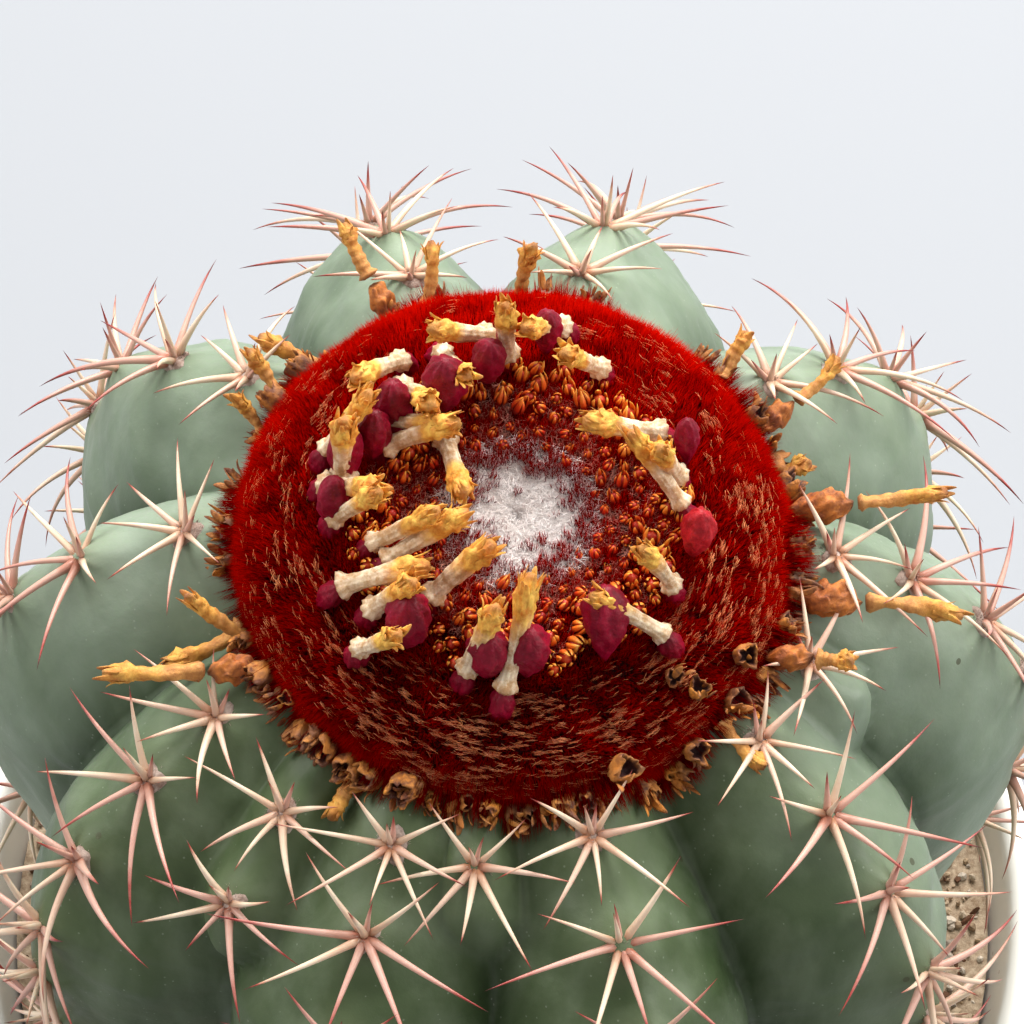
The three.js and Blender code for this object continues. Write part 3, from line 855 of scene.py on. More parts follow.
# %% Spine material
def make_spine_material():
    """Horn: tan root, cream or pink middle, dark red tip, and a faint roughness."""
    material, tree, shader = new_material(
        "spine_horn", 0.42, Subsurface_Weight=0.15,
        Subsurface_Radius=(1.0, 0.5, 0.3), Subsurface_Scale=0.6 * MM)
    shifted = unsettled(tree, mark(tree, "along"), 260.0, 0.4)
    pale = ramp(tree, shifted, [
        (0.0, colour(172, 122, 92)), (0.12, colour(202, 170, 144)), (0.5, colour(222, 204, 180)),
        (0.78, colour(206, 168, 144)), (0.92, colour(146, 52, 40)), (1.0, colour(78, 18, 18))])
    red = ramp(tree, shifted, [
        (0.0, colour(166, 108, 88)), (0.2, colour(198, 158, 142)), (0.55, colour(194, 146, 132)),
        (0.84, colour(146, 46, 40)), (1.0, colour(74, 14, 16))])
    kind = add(tree, "ShaderNodeMapRange", inputs={
        "Value": mark(tree, "tone"), "From Min": 0.45, "From Max": 0.7})
    connect(tree, shader.inputs["Base Color"], mixed(tree, kind.outputs["Result"], pale, red))
    roughened(tree, shader, 2600.0, 0.05, 0.5, 0.6)
    return material


spine_material = make_spine_material()


def areole_nodes(rib):
    """The frame's nodes for one rib."""
    young = rib - len(RIB_AZIMUTHS)
    stem_name = f"areole_rib{rib + 1}_" if young < 0 else f"areole_young_rib{young + 1}_"
    return sorted(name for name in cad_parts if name.startswith(stem_name))


for rib in range(len(RIB_AZIMUTHS) + len(YOUNG_RIBS)):
    members = [spine_paths(areole) for areole in areoles if areole["rib"] == rib]
    paths = np.concatenate([member[0] for member in members])
    widths = np.concatenate([member[1] for member in members])
    points, faces, marks = swept(paths, widths, 8)
    make_piece(f"spines_rib_{rib + 1:02d}", points, faces, spine_material, areole_nodes(rib), marks)

# %% [markdown]
# ## Felt pads
#
# Round the spine roots the areole is a cushion of short felt, dusty pink and brown. A low dome gives it
# body and a crowd of short hairs gives it its soft edge.

# %% Felt domes and hairs
def make_felt_material():
    """Short matt felt in patches of brown and dusty pink."""
    material, tree, shader = new_material("areole_felt", 0.95, Sheen_Weight=0.3)
    patches, _ = mottled(tree, 420.0, 3.0, colour(140, 112, 98), colour(200, 180, 168))
    connect(tree, shader.inputs["Base Color"], patches)
    roughened(tree, shader, 2400.0, 0.25, 0.8)
    return material


def felt_dome(areole, rings=9, sides=20):
    """Half an ellipsoid, longer up the rib than across, with its lower edge under the skin."""
    place, sideways, up_rib, away = areole["frame"]
    latitude = np.linspace(np.pi / 2 * 0.96, -0.5, rings)[:, None]
    angle = turns(sides)[None]
    seed = areole["seed"]
    wobble = 1 + 0.12 * np.sin(3 * angle + seed) + 0.08 * np.sin(5 * angle + 2 * seed)
    across = 2.3 * np.cos(latitude) * wobble * np.sin(angle)
    upward = 2.7 * np.cos(latitude) * wobble * np.cos(angle)
    height = 1.4 * np.sin(latitude) + 0.2 + 0 * angle
    grid = place + across[..., None] * sideways + upward[..., None] * up_rib + height[..., None] * away
    points, faces = closed_skin(grid[:, ::-1])
    return points, faces, {}


def felt_hairs(count_each=100):
    """Hairs that start on the pad and lean away from its middle."""
    chance = np.random.default_rng(41)
    roots, directions = [], []
    for areole in areoles:
        place, sideways, up_rib, away = areole["frame"]
        angle = chance.uniform(0, 2 * np.pi, count_each)[:, None]
        reach = np.sqrt(chance.uniform(0.02, 1, count_each))[:, None]
        flat = np.sin(angle) * sideways + 1.2 * np.cos(angle) * up_rib
        roots.append(place + 2.2 * reach * flat + away * (1.8 - 1.5 * reach**2))
        loose = chance.normal(0, 0.3, (count_each, 3))
        directions.append(unit(0.9 * reach * flat + away * 0.9 + loose))
    count = len(areoles) * count_each
    return hairs(np.concatenate(roots), np.concatenate(directions), chance.uniform(0.5, 1.2, count), 0.052)


felt_material = make_felt_material()
domes = merge([felt_dome(areole) for areole in areoles])
make_piece("areole_pads", domes[0], domes[1], felt_material)
points, faces, _ = felt_hairs()
make_piece("areole_felt_hairs", points, faces, felt_material)

# %% [markdown]
# ## The cap's own frame and outline
#
# The cephalium is a squat drum that leans forward a little. Everything on it is first placed round the
# growing point, as if the drum stood upright, and then turned and moved to the top of the stem. Its
# outline is a superellipse too: flat on top, round at the shoulder, upright at the side.

# %% Turning with the cap
def turn_with_crown(vectors):
    """Turns cap directions about Y and then X by the two tilts."""
    cos_x, sin_x = np.cos(TILT_FORWARD), np.sin(TILT_FORWARD)
    cos_y, sin_y = np.cos(TILT_RIGHT), np.sin(TILT_RIGHT)
    about_x = np.array([[1, 0, 0], [0, cos_x, -sin_x], [0, sin_x, cos_x]])
    about_y = np.array([[cos_y, 0, sin_y], [0, 1, 0], [-sin_y, 0, cos_y]])
    return vectors @ (about_x @ about_y).T


def crown_to_plant(points):
    """Turns cap coordinates and moves them to the growing point."""
    return turn_with_crown(points) + GROWING_POINT


def cap_piece(name, shape, material, replaces=()):
    """A piece from points, faces and marks that were placed on the upright cap."""
    points, faces, marks = shape
    return make_piece(name, crown_to_plant(points), faces, material, replaces, marks)


print("the cap's axis points to", turn_with_crown(np.array([0, 0, 1.0])).round(3))

# %% Cap outline by length and by area
CAP_SHOULDER = 12.0  # height of the rounded part of the drum


def cap_outline():
    """Radius and height down the cap, with a dip of 1.3 mm in the middle and a side that draws in by 3 mm.

    The rounding is a superellipse: (radius/41)^3 + (height above the rounding's foot/12)^3 = 1.
    """
    angle = np.linspace(0, np.pi / 2, 4000)
    radius = CAP_RADIUS * np.sin(angle) ** (2 / 3)
    height = -CAP_SHOULDER * (1 - np.cos(angle) ** (2 / 3))
    lower = np.linspace(0, 1, 400)[1:]
    radius = np.append(radius, CAP_RADIUS - 3.0 * lower**2)
    height = np.append(height, -CAP_SHOULDER - (CAP_HEIGHT - CAP_SHOULDER) * lower)
    return radius, height - hump(radius, 8.0, 1.3)


cap_radii, cap_heights = cap_outline()
cap_lengths = np.append(0, np.cumsum(np.hypot(np.diff(cap_radii), np.diff(cap_heights))))
cap_areas = np.append(0, np.cumsum(np.pi * (cap_radii[1:] + cap_radii[:-1]) * np.diff(cap_lengths)))
print("cap surface", round(cap_areas[-1]), "square mm")

# %% Places on the cap
def on_cap(azimuth, length, sink=0.0):
    """Point on the cap, with its normal, its direction down the outline and its direction round it."""
    radius = np.interp(length, cap_lengths, cap_radii)
    height = np.interp(length, cap_lengths, cap_heights)
    before, after = length - 0.4, length + 0.4
    ahead = np.interp(after, cap_lengths, cap_radii) - np.interp(before, cap_lengths, cap_radii)
    fall = np.interp(after, cap_lengths, cap_heights) - np.interp(before, cap_lengths, cap_heights)
    away = outward(azimuth)
    up = np.array([0, 0, 1.0])
    down_slope = unit(ahead[..., None] * away + fall[..., None] * up)
    round_ = np.cross(up, away)
    normal = unit(np.cross(down_slope, round_))
    point = away * radius[..., None] + up * height[..., None]
    return point - normal * np.asarray(sink)[..., None], normal, down_slope, round_


def golden_spiral(first, last, spacing):
    """Azimuths and lengths of points at equal area between two lengths down the outline.

    The nth point stands at n x 137.5 degrees, where the area inside it is n x spacing squared.
    """
    low, high = np.interp([first, last], cap_lengths, cap_areas)
    count = int((high - low) / spacing**2)
    number = np.arange(count)
    area = low + (number + 0.5) * spacing**2
    return number * GOLDEN_ANGLE, np.interp(area, cap_areas, cap_lengths)


print("places 1 mm apart over the whole cap:", len(golden_spiral(0, cap_lengths[-1], 1.0)[0]))

# %% Where the cap meets the stem
def foot_lengths(azimuths, count=60):
    """Lengths down the cap at which its side goes under the stem's skin, one for each azimuth.

    Probes run down the lower part of the side. The last one that stands higher than the skin below it is
    the place.
    """
    probes = np.linspace(0.6 * cap_lengths[-1], cap_lengths[-1], count)
    azimuth, length = np.meshgrid(azimuths, probes, indexing="ij")
    side = crown_to_plant(on_cap(azimuth, length, 1.5)[0])
    middle = side[:, count // 2]
    heading = np.degrees(np.arctan2(middle[:, 0], -middle[:, 1]))
    skin = skin_point(heading[:, None], np.arange(88, 20, -0.5)[None])
    lengths = []
    for probe, profile in zip(side, skin):
        skin_height = np.interp(np.hypot(*probe[:, :2].T), np.hypot(*profile[:, :2].T), profile[:, 2])
        outside = np.flatnonzero(probe[:, 2] > skin_height)
        lengths.append(probes[outside[-1]])
    return np.array(lengths)


FOOT_AZIMUTHS = np.arange(0, 360, 3.0)
cap_foot = foot_lengths(FOOT_AZIMUTHS)
print("the cap meets the stem", cap_foot.min().round(1), "to", cap_foot.max().round(1), "mm down its outline")


def foot_places(azimuth, rise, reach=0.0):
    """Places on the side of the cap, a rise above the stem's skin, and their outward directions."""
    length = np.interp(azimuth, FOOT_AZIMUTHS, cap_foot, period=360) - rise
    place, normal, _, _ = on_cap(azimuth, length, -np.asarray(reach, float))
    return place, normal


# %% [markdown]
# ## Red bristle
#
# The cap's outer band is packed with fine red bristle that stands up from tufts. The tufts sit on a
# golden-angle spiral, as all new growth on a cactus does, which is what draws the faint arcs in it. A dark
# core closes the drum below, and over a hundred thousand needles make the velvet. Real bristles are a
# tenth of a millimetre thick, so the needles are real geometry, not a texture, and the edge frays.

# %% Where wool shows between the bristles
def wool_share(azimuth, length):
    """How much of the band is wool, from 0 to 1: most at the front and right, least behind."""
    angle = np.mod(azimuth, 360)
    front = hump(round_offset(angle, 8), 62)
    right = hump(round_offset(angle, 78), 38, 0.55)
    left = hump(round_offset(angle, 285), 50, 0.30)
    band = smoothstep(length, 24, 29) * (1 - smoothstep(length, 40, 50))
    return np.clip(0.10 + front + right + left, 0, 1) * (0.12 + 0.88 * band)


def in_wool(azimuth, length):
    """True where a fleck of wool shows: long thin patches that run round the cap."""
    across = steps_round(azimuth)
    drift = 1.8 * cloud(across * 0.5, length * 0.22, 5, 33)
    patch = (0.52 * cloud(across * 2, length * 2.9 + drift, 1, 132)
             + 0.28 * cloud(across * 5, length * 6.0 + drift, 2, 330)
             + 0.20 * cloud(across * 0.5, length * 0.3, 6, 33))
    return patch > 0.780 - 0.145 * wool_share(azimuth, length)


print("wool at the front and the back:", wool_share(np.array([0, 180.0]), np.array([35, 35.0])).round(2))

# %% Bristle materials
def make_bristle_material():
    """Fine bristle: dark red at the root, deep red in the middle, brighter at the tip; the tone mark mixes a
    dark and a bright red, partly at random and partly as painted light and shade.
    """
    material, tree, shader = new_material("red_bristle", 0.5, Specular_IOR_Level=0.0)
    along = mark(tree, "along")
    deep_and_shaded = ramp(tree, along, [(0.0, colour(32, 0, 0)), (0.5, colour(90, 0, 0)), (1.0, colour(120, 0, 0))])
    bright_and_lit = ramp(tree, along, [(0.0, colour(46, 0, 0)), (0.5, colour(134, 0, 0)), (1.0, colour(180, 12, 1))])
    connect(tree, shader.inputs["Base Color"], mixed(tree, mark(tree, "tone"), deep_and_shaded, bright_and_lit))
    return material


def make_core_material():
    """The dark felted mass that the bristles stand in, white with wool in the middle."""
    material, tree, shader = new_material("cap_core", 0.95)
    patches, _ = mottled(tree, 260.0, 2.5, colour(36, 1, 2), colour(84, 4, 4))
    woolly = mixed(tree, mark(tree, "wool"), patches, colour(244, 236, 232))
    connect(tree, shader.inputs["Base Color"], woolly)
    roughened(tree, shader, 1500.0, 0.5)
    return material


def make_wool_material(name, first, second, dark):
    """Silky wool in clumps of two colours, darker where the mark called grey is high."""
    material, tree, shader = new_material(name, 0.85, Specular_IOR_Level=0.1, Sheen_Weight=0.25)
    clumps, _ = mottled(tree, 300.0, 2.0, first, second)
    toned = mixed(tree, maths(tree, "MULTIPLY", mark(tree, "tone"), 0.35), clumps, dark)
    greyed = mixed(tree, mark(tree, "grey"), toned, colour(118, 112, 108))
    connect(tree, shader.inputs["Base Color"], greyed)
    return material


bristle_material = make_bristle_material()
tan_wool = make_wool_material(
    "tan_wool", colour(200, 96, 42), colour(240, 160, 96), colour(170, 40, 14))
pink_wool = make_wool_material(
    "pink_wool", colour(218, 126, 104), colour(244, 190, 170), colour(176, 44, 30))
white_wool = make_wool_material(
    "white_wool", colour(250, 246, 243), colour(255, 254, 253), colour(240, 214, 208))
print("wool finishes:", tan_wool.name, pink_wool.name, white_wool.name)

# %% The core under wool, buds and bristle
BRISTLE_DEPTH = 3.4  # about how far the bristles' roots lie below their tips
BRISTLE_THICKNESS = 0.085
RING_START, RING_END = 10.5, 25.0  # the ring of buds, as lengths down the outline
BAND_START = 25.5


def eye_dip(length):
    """The small hollow at the growing point: 0.9 mm deep in the middle and gone by 2 mm out."""
    return hump(length, 0.9, 0.9)


core_azimuth, core_length = np.meshgrid(
    np.linspace(0, 360, 180, endpoint=False), np.linspace(0.8, cap_lengths[-1], 70))
core_sink = 0.7 + 1.5 * smoothstep(core_length, 9, 13) + eye_dip(core_length)
core_sink += (BRISTLE_DEPTH - 2.8) * smoothstep(core_length, 23, 31)
core_points, core_faces = closed_skin(on_cap(core_azimuth, core_length, core_sink)[0])
core_wool = 1 - smoothstep(core_length, 6.5, 10.5)
core_marks = {"wool": np.append(core_wool.ravel(), [1.0, 0.0])}
cap_piece("cap_core", (core_points, core_faces, core_marks), make_core_material(),
          ["cephalium"])

# %% Bristle tufts
TUFT_SPACING = 1.15
NEEDLES_EACH = 31


def red_needles():
    """Needles in tufts: each leans with its tuft, which fans out from the tuft's middle.

    Roots scatter 0.5 mm about the tuft. Direction = normal + lean down the slope + fan + chance. Most of
    the needles inside a fleck of wool are left out, so the wool shows with a few needles through it.
    """
    chance = np.random.default_rng(7)
    azimuth, length = golden_spiral(BAND_START, cap_lengths[-1] - 0.5, TUFT_SPACING)
    tufts = len(azimuth)
    point, normal, slope, round_ = on_cap(azimuth, length, BRISTLE_DEPTH - 0.4)
    scatter = chance.normal(0, 0.46, (tufts, NEEDLES_EACH, 2))
    roots = point[:, None] + scatter[..., :1] * slope[:, None] + scatter[..., 1:] * round_[:, None]
    fan = 0.20 * (scatter[..., :1] * slope[:, None] + scatter[..., 1:] * round_[:, None])
    sweep = 0.55 * (cloud(steps_round(azimuth), length * 0.3, 8) - 0.5)
    tuft_lean = chance.normal(0, 0.07, (tufts, 2)) + np.stack([sweep, -sweep], -1)
    edge = smoothstep(length, 44, 54)
    down_lean = (0.06 + 0.20 * edge + tuft_lean[:, 0])[:, None, None] * slope[:, None]
    lean = down_lean + tuft_lean[:, 1, None, None] * round_[:, None]
    loose = chance.normal(0, 0.09, (tufts, NEEDLES_EACH, 3))
    direction = unit(normal[:, None] + fan + lean + loose)
    waves = 0.9 * (cloud(steps_round(azimuth), length * 0.45, 3) - 0.5)[:, None]
    reach = BRISTLE_DEPTH - 0.5 + waves + chance.normal(0, 0.30, (tufts, NEEDLES_EACH))
    stray = chance.random((tufts, NEEDLES_EACH)) < 0.015
    reach = np.where(stray, reach + 0.9, reach)
    # Painted light and shade: taller tufts are painted brighter, as if lit, and the needles down the cap's
    # side are painted darker, as if in shade; the rest of the tone is random.
    bright_and_lit = 0.44 + 1.0 * waves + chance.normal(0, 0.10, (tufts, 1))
    tone = np.clip(bright_and_lit + chance.normal(0, 0.20, reach.shape), 0, 1)
    tone = tone * (1 - 0.8 * smoothstep(length, 46, 56)[:, None])
    radius = np.interp(length, cap_lengths, cap_radii)
    needle_azimuth = azimuth[:, None] + np.degrees(scatter[..., 1] / radius[:, None])
    hidden = in_wool(needle_azimuth, length[:, None] + scatter[..., 0])
    kept = ~(hidden & (chance.random(reach.shape) < 0.52))
    return roots[kept], direction[kept], reach[kept], tone[kept]


def bristle_pieces(name, count, roots, directions, reaches, tones):
    """Cap needles split into several pieces, so that each mesh stays a handy size."""
    for number, chosen in enumerate(np.array_split(np.arange(len(roots)), count)):
        points, faces, marks = needles(
            crown_to_plant(roots[chosen]), turn_with_crown(directions[chosen]),
            reaches[chosen], BRISTLE_THICKNESS, tones[chosen])
        make_piece(f"{name}_{number + 1}", points, faces, bristle_material, (), marks)


band = red_needles()
bristle_pieces("red_bristle", 5, *band)
print(len(band[0]), "needles in the band")

# %% Fringe round the lower edge
def fringe_needles(tufts=150, rows=3, each=30):
    """Longer needles in pointed tufts round the lower edge, painted darker there as shade: each leans to its
    tuft's middle.
    """
    chance = np.random.default_rng(11)
    azimuth = np.arange(tufts)[:, None] + 0.33 * np.arange(rows) + chance.uniform(-0.3, 0.3, (tufts, rows))
    azimuth = np.repeat((azimuth * 360 / tufts).ravel(), each)
    foot = np.interp(azimuth, FOOT_AZIMUTHS, cap_foot, period=360)
    length = foot + 1.0 - np.repeat(np.tile(1.6 * np.arange(rows), tufts), each)
    scatter = chance.normal(0, 0.55, (len(azimuth), 2))
    point, normal, slope, round_ = on_cap(azimuth, length, 2.2)
    roots = point + scatter[:, :1] * round_ + scatter[:, 1:] * slope
    gather = 0.20 * scatter[:, :1] * round_
    direction = unit(normal + 0.25 * slope - gather + chance.normal(0, 0.10, roots.shape))
    tuft_reach = np.repeat(chance.uniform(4.4, 6.6, tufts * rows), each)
    reach = tuft_reach - 0.9 * np.abs(scatter[:, 0]) + chance.normal(0, 0.3, len(azimuth))
    # Painted shade: the fringe's tones are low, so its needles take the darker red.
    return roots, direction, reach, np.clip(chance.normal(0.22, 0.16, len(azimuth)), 0, 1)


bristle_pieces("fringe", 1, *fringe_needles())

# %% Wool between the bristles
def flat_fibres(azimuth, length, sink, chance, rise, reach, along_round):
    """Roots and directions of wool fibres that lie along the cap, mostly round it or at random."""
    point, normal, slope, round_ = on_cap(azimuth, length, sink)
    if along_round:
        angle = chance.normal(0, 0.26, len(azimuth))
    else:
        angle = chance.uniform(0, 2 * np.pi, len(azimuth))
    sign = np.where(chance.random(len(azimuth)) < 0.5, -1.0, 1.0)
    flat = sign[:, None] * (np.cos(angle)[:, None] * round_ + np.sin(angle)[:, None] * slope)
    direction = unit(flat + normal * chance.normal(rise, 0.12, len(azimuth))[:, None])
    lengths = chance.uniform(*reach, len(azimuth))
    return point - direction * (lengths * 0.5)[:, None], direction, lengths


def band_wool():
    """Wool fibres in the flecks: lying round the cap a little below the bristle tips."""
    chance = np.random.default_rng(19)
    azimuth, length = golden_spiral(BAND_START - 1, 52, 0.30)
    azimuth, length = np.repeat(azimuth, 2), np.repeat(length, 2)
    azimuth = azimuth + chance.normal(0, 0.3, len(azimuth))
    chosen = in_wool(azimuth, length)
    azimuth, length = azimuth[chosen], length[chosen]
    sink = chance.uniform(0.8, 1.8, len(azimuth))
    return flat_fibres(azimuth, length, sink, chance, 0.10, (0.9, 2.0), True)


def wool_piece(name, fibres, thickness, bend, material, greyness=None):
    """One piece of wool on the cap. Each fibre has seven corners, which share its greyness."""
    roots, directions, lengths = fibres
    points, faces, marks = hairs(
        crown_to_plant(roots), turn_with_crown(directions), lengths, thickness, bend)
    if greyness is not None:
        marks["grey"] = np.repeat(greyness, 7)
    make_piece(name, points, faces, material, marks=marks)


wool_piece("wool_flecks", band_wool(), 0.05, 0.05, tan_wool)

# %% [markdown]
# ## The woolly middle
#
# New growth starts in the middle of the cap, under white wool, with one small grey dot at its very
# centre. Further out the wool thins and short red bristle comes through in clumps, until buds crowd it.

# %% White wool and short bristle
def middle_wool():
    """White fibres at random angles, sparser away from the middle, and grey at the very centre."""
    chance = np.random.default_rng(23)
    azimuth, length = golden_spiral(0.2, 12.0, 0.19)
    thin = chance.random(len(azimuth)) < 1.1 - 0.85 * smoothstep(length, 6.5, 11.5)
    azimuth, length = azimuth[thin], length[thin]
    sink = chance.uniform(0.1, 0.75, len(azimuth)) + eye_dip(length)
    fibres = flat_fibres(azimuth, length, sink, chance, 0.06, (1.0, 2.6), False)
    return fibres, hump(length, 0.75, 0.9)


def ring_wool():
    """Pink fibres in patches between the buds."""
    chance = np.random.default_rng(29)
    azimuth, length = golden_spiral(9.5, 22.5, 0.40)
    patch = cloud(steps_round(azimuth, 44), length * 1.1, 11, 44)
    chosen = patch > 0.32 + 0.25 * smoothstep(length, 11, 24)
    azimuth, length = np.repeat(azimuth[chosen], 2), np.repeat(length[chosen], 2)
    sink = chance.uniform(0.4, 1.7, len(azimuth))
    return flat_fibres(azimuth, length, sink, chance, 0.35, (1.0, 2.3), False)


def middle_needles():
    """Short red bristle: clumps in the outer wool, and close standing among the buds."""
    chance = np.random.default_rng(31)
    azimuth, length = golden_spiral(2.5, BAND_START + 1, 0.275)
    azimuth, length = np.repeat(azimuth, 2), np.repeat(length, 2)
    place, _, _, _ = on_cap(azimuth, length)
    patch = 0.6 * cloud(place[:, 0] / 1.7 + 40, place[:, 1] / 1.7 + 40, 17, 999)
    patch += 0.4 * cloud(place[:, 0] / 0.7 + 90, place[:, 1] / 0.7 + 90, 18, 999)
    level = 0.80 - 0.40 * smoothstep(length, 3.0, 9.5) - 0.16 * smoothstep(length, 11, 20)
    chosen = patch + chance.normal(0, 0.05, len(patch)) > level
    azimuth, length = azimuth[chosen], length[chosen]
    point, normal, slope, round_ = on_cap(azimuth, length, 1.0 + 1.0 * smoothstep(length, 9, 13))
    scatter = chance.normal(0, 0.18, (len(azimuth), 2))
    roots = point + scatter[:, :1] * slope + scatter[:, 1:] * round_
    directions = unit(normal + chance.normal(0, 0.16, (len(azimuth), 3)))
    reaches = 2.2 + 0.2 * smoothstep(length, 9, 13) + chance.normal(0, 0.22, len(azimuth))
    reaches += 1.2 * (patch[chosen] - level[chosen])
    return roots, directions, reaches, np.clip(chance.normal(0.6, 0.25, len(azimuth)), 0, 1)


middle_fibres, middle_greyness = middle_wool()
wool_piece("white_wool_middle", middle_fibres, 0.04, 0.08, white_wool, middle_greyness)
wool_piece("pink_wool_ring", ring_wool(), 0.055, 0.08, pink_wool)
bristle_pieces("short_bristle", 2, *middle_needles())

# %% [markdown]
# ## Fruits
#
# A ripe fruit is a magenta club, and these have begun to shrivel. It grows inside the cap and is pushed
# out, foot last, with the dried flower still on its broad end. The club's radius follows one sine: thin
# at the foot, widest at six tenths of its length, and round at the top. Creases that wander down its
# sides draw it in.

# %% Where fruits and flowers stand
# azimuth, radius, direction it leans towards, lean, length
FRUITS = np.array([
    [213, 19.5, 190, 5, 14], [323, 25.5, 180, 8, 13], [29, 25, 185, 30, 13], [262, 25, 175, 22, 13],
    [3, 24.5, 180, 10, 11.5], [77, 25.5, 180, 5, 13], [110, 26, 200, 15, 10], [192, 21.5, 180, 0, 13],
    [234, 21.5, 200, 12, 12], [248, 22, 180, 14, 11], [275, 26.5, 170, 16, 11], [350, 25, 175, 10, 11],
    [171, 26.5, 190, 6, 11],
], float)
FRUIT_WIDTHS = np.array([3.2, 3.2, 3.3, 2.4, 3.0, 2.4, 1.8, 2.5, 2.7, 2.3, 2.2, 3.0, 2.1])
FLOWERS = np.array([
    [189, 28, 299, 45, 14], [183, 24.5, 253, 6, 14], [167, 30, 313, 40, 14], [152, 25.5, 301, 32, 14],
    [216, 28.5, 319, 48, 14], [204, 27, 19, 45, 14], [222, 25, 29, 40, 14], [235, 24, 61, 53, 14],
    [244, 21, 87, 46, 14], [224, 15, 12, 63, 14], [253, 28.5, 118, 30, 14], [260, 25, 191, 8, 14],
    [264, 27.5, 55, 42, 14], [275, 26, 75, 27, 14], [286, 21.5, 92, 42, 14], [295, 20.5, 111, 56, 14.4],
    [297, 28, 94, 62, 14], [308, 26, 78, 25, 14], [319, 18.5, 115, 39, 14], [315, 31, 58, 26, 14],
    [344, 26, 141, 24, 14], [356, 28, 165, 43, 18], [121, 24, 281, 57, 14], [92, 23.5, 232, 46, 15],
    [104, 23.5, 295, 20, 13], [62, 24.5, 269, 23, 14], [47, 28, 257, 53, 14],
])


def crown_places(table, lift):
    """Places and unit directions in cap coordinates of rows like the ones above."""
    azimuth, radius, towards, lean, _ = table.T
    place = outward(azimuth) * radius[:, None] + np.array([0, 0, lift])
    direction = outward(towards) * np.sin(np.radians(lean))[:, None]
    direction[:, 2] = np.cos(np.radians(lean))
    return place, direction


print(len(FRUITS), "fruits and", len(FLOWERS), "dried flowers")

# %% Fruit shape
def creased(angle, step, seed, count):
    """Lengthwise creases that wander as they go: 0 between them, and -1 at the bottom of each."""
    wander = 0.8 * np.sin(6 * step + seed * 3.1) + 0.5 * np.sin(14 * step + 2 * angle + seed * 1.7)
    return -((1 - np.abs(np.sin(count * angle / 2 + wander))) ** 2)


def fruit_shapes(place, direction, length, width, steps=28, sides=28):
    """Clubs: radius = width x sin(pi t^1.45)^0.62, drawn in by wandering creases, t from foot to top."""
    number = len(place)
    share = np.linspace(0.012, 0.988, steps)[None]
    step = share[..., None]
    angle = turns(sides)
    seed = np.arange(number)[:, None, None]
    profile = np.sin(np.pi * share**1.45) ** 0.62 + 0.10 * np.exp(-share * 18)
    wrinkle = (np.sin(4 * angle + seed * 2.1 + 4 * step) * 0.050
               + np.sin(7 * angle + seed * 1.3 - 7 * step) * 0.028)
    dimple = np.sin(3 * angle + seed * 4.7 + 11 * step) * np.sin(9 * step + seed) * 0.06
    top_pucker = dimple + 0.05 * np.cos(8 * angle + seed) * smoothstep(step, 0.8, 1.0)
    pinch = 0.26 * creased(angle, step, seed, 9) + 0.10 * creased(angle, 2 * step, seed + 5, 14)
    radii = width[:, None, None] * profile[..., None] * (1.06 + wrinkle + top_pucker + pinch)
    side = unit(np.cross(direction, [[0.3, 0.2, 1.0]]))
    bow = (0.5 * (varied(np.arange(number) + 0.4) - 0.5))[:, None, None] * np.sin(np.pi * step)
    paths = place[:, None] + direction[:, None] * (share * length[:, None])[..., None] + bow * side[:, None]
    return swept(paths, radii, sides)


# %% Fruit material
def make_fruit_material():
    """Shrivelled skin over juicy flesh: crimson to magenta, darker at the top, with fine pale specks."""
    material, tree, shader = new_material(
        "fruit_skin", 0.48, Specular_IOR_Level=0.22, Subsurface_Weight=0.12,
        Subsurface_Radius=(1.0, 0.2, 0.4), Subsurface_Scale=1.5 * MM,
        Coat_Weight=0.06, Coat_Roughness=0.3)
    flesh = ramp(tree, mark(tree, "along"), [
        (0.0, colour(150, 4, 46)), (0.25, colour(140, 0, 34)),
        (0.7, colour(124, 0, 28)), (1.0, colour(92, 0, 13))])
    patches, _ = mottled(tree, 320.0, 1.8, colour(66, 0, 12), colour(164, 0, 50))
    withering, _ = mottled(tree, 260.0, 3.0, colour(118, 2, 14), colour(188, 30, 40))
    cloudy = mixed(tree, mark(tree, "dry"), mixed(tree, 0.5, flesh, patches), withering)
    speckled = mixed(tree, flecked(tree, 1600.0, 0.22, 0.5, 0.08), cloudy, colour(210, 80, 140))
    connect(tree, shader.inputs["Base Color"], speckled)
    roughened(tree, shader, 650.0, 0.45)
    return material


fruit_place, fruit_direction = crown_places(FRUITS, -2.0)
flower_place, flower_direction = crown_places(FLOWERS, 1.0)
seat_direction = unit(flower_direction * 0.55 + np.array([0, 0, 0.9]))
seat_place = flower_place - seat_direction * 8.7
all_fruits = fruit_shapes(
    np.concatenate([fruit_place, seat_place]), np.concatenate([fruit_direction, seat_direction]),
    np.concatenate([FRUITS[:, 4], np.full(len(FLOWERS), 9.0)]),
    np.concatenate([FRUIT_WIDTHS, np.full(len(FLOWERS), 1.8)]))
WITHERING_FRUIT = 5  # the row of the one at azimuth 77
dryness = np.zeros(len(FRUITS) + len(FLOWERS))
dryness[WITHERING_FRUIT] = 1.0
all_fruits[2]["dry"] = np.repeat(dryness, len(all_fruits[0]) // len(dryness))
cap_piece("fruits", all_fruits, make_fruit_material(),
          [f"fruit_{number}" for number in range(1, 9)])

# %% [markdown]
# ## Dried flowers
#
# A flower opens for one afternoon and then dries on its fruit: a flared collar, a narrow cream tube with
# lengthwise ribs, and a crumpled golden head of curled petals. The tube is a profile carried along a
# slightly bent line. Crumpling grows from next to nothing at the tube to a third of the radius at the head.

# %% Flower tubes
# share of the length, and radius there for a width of 1
TUBE_PROFILE = np.array([
    [0.0, 1.15], [0.012, 1.75], [0.05, 1.82], [0.085, 1.45], [0.13, 1.12], [0.3, 1.10], [0.5, 1.24],
    [0.62, 1.34], [0.72, 1.50], [0.82, 1.58], [0.91, 1.25], [1.0, 0.5],
])


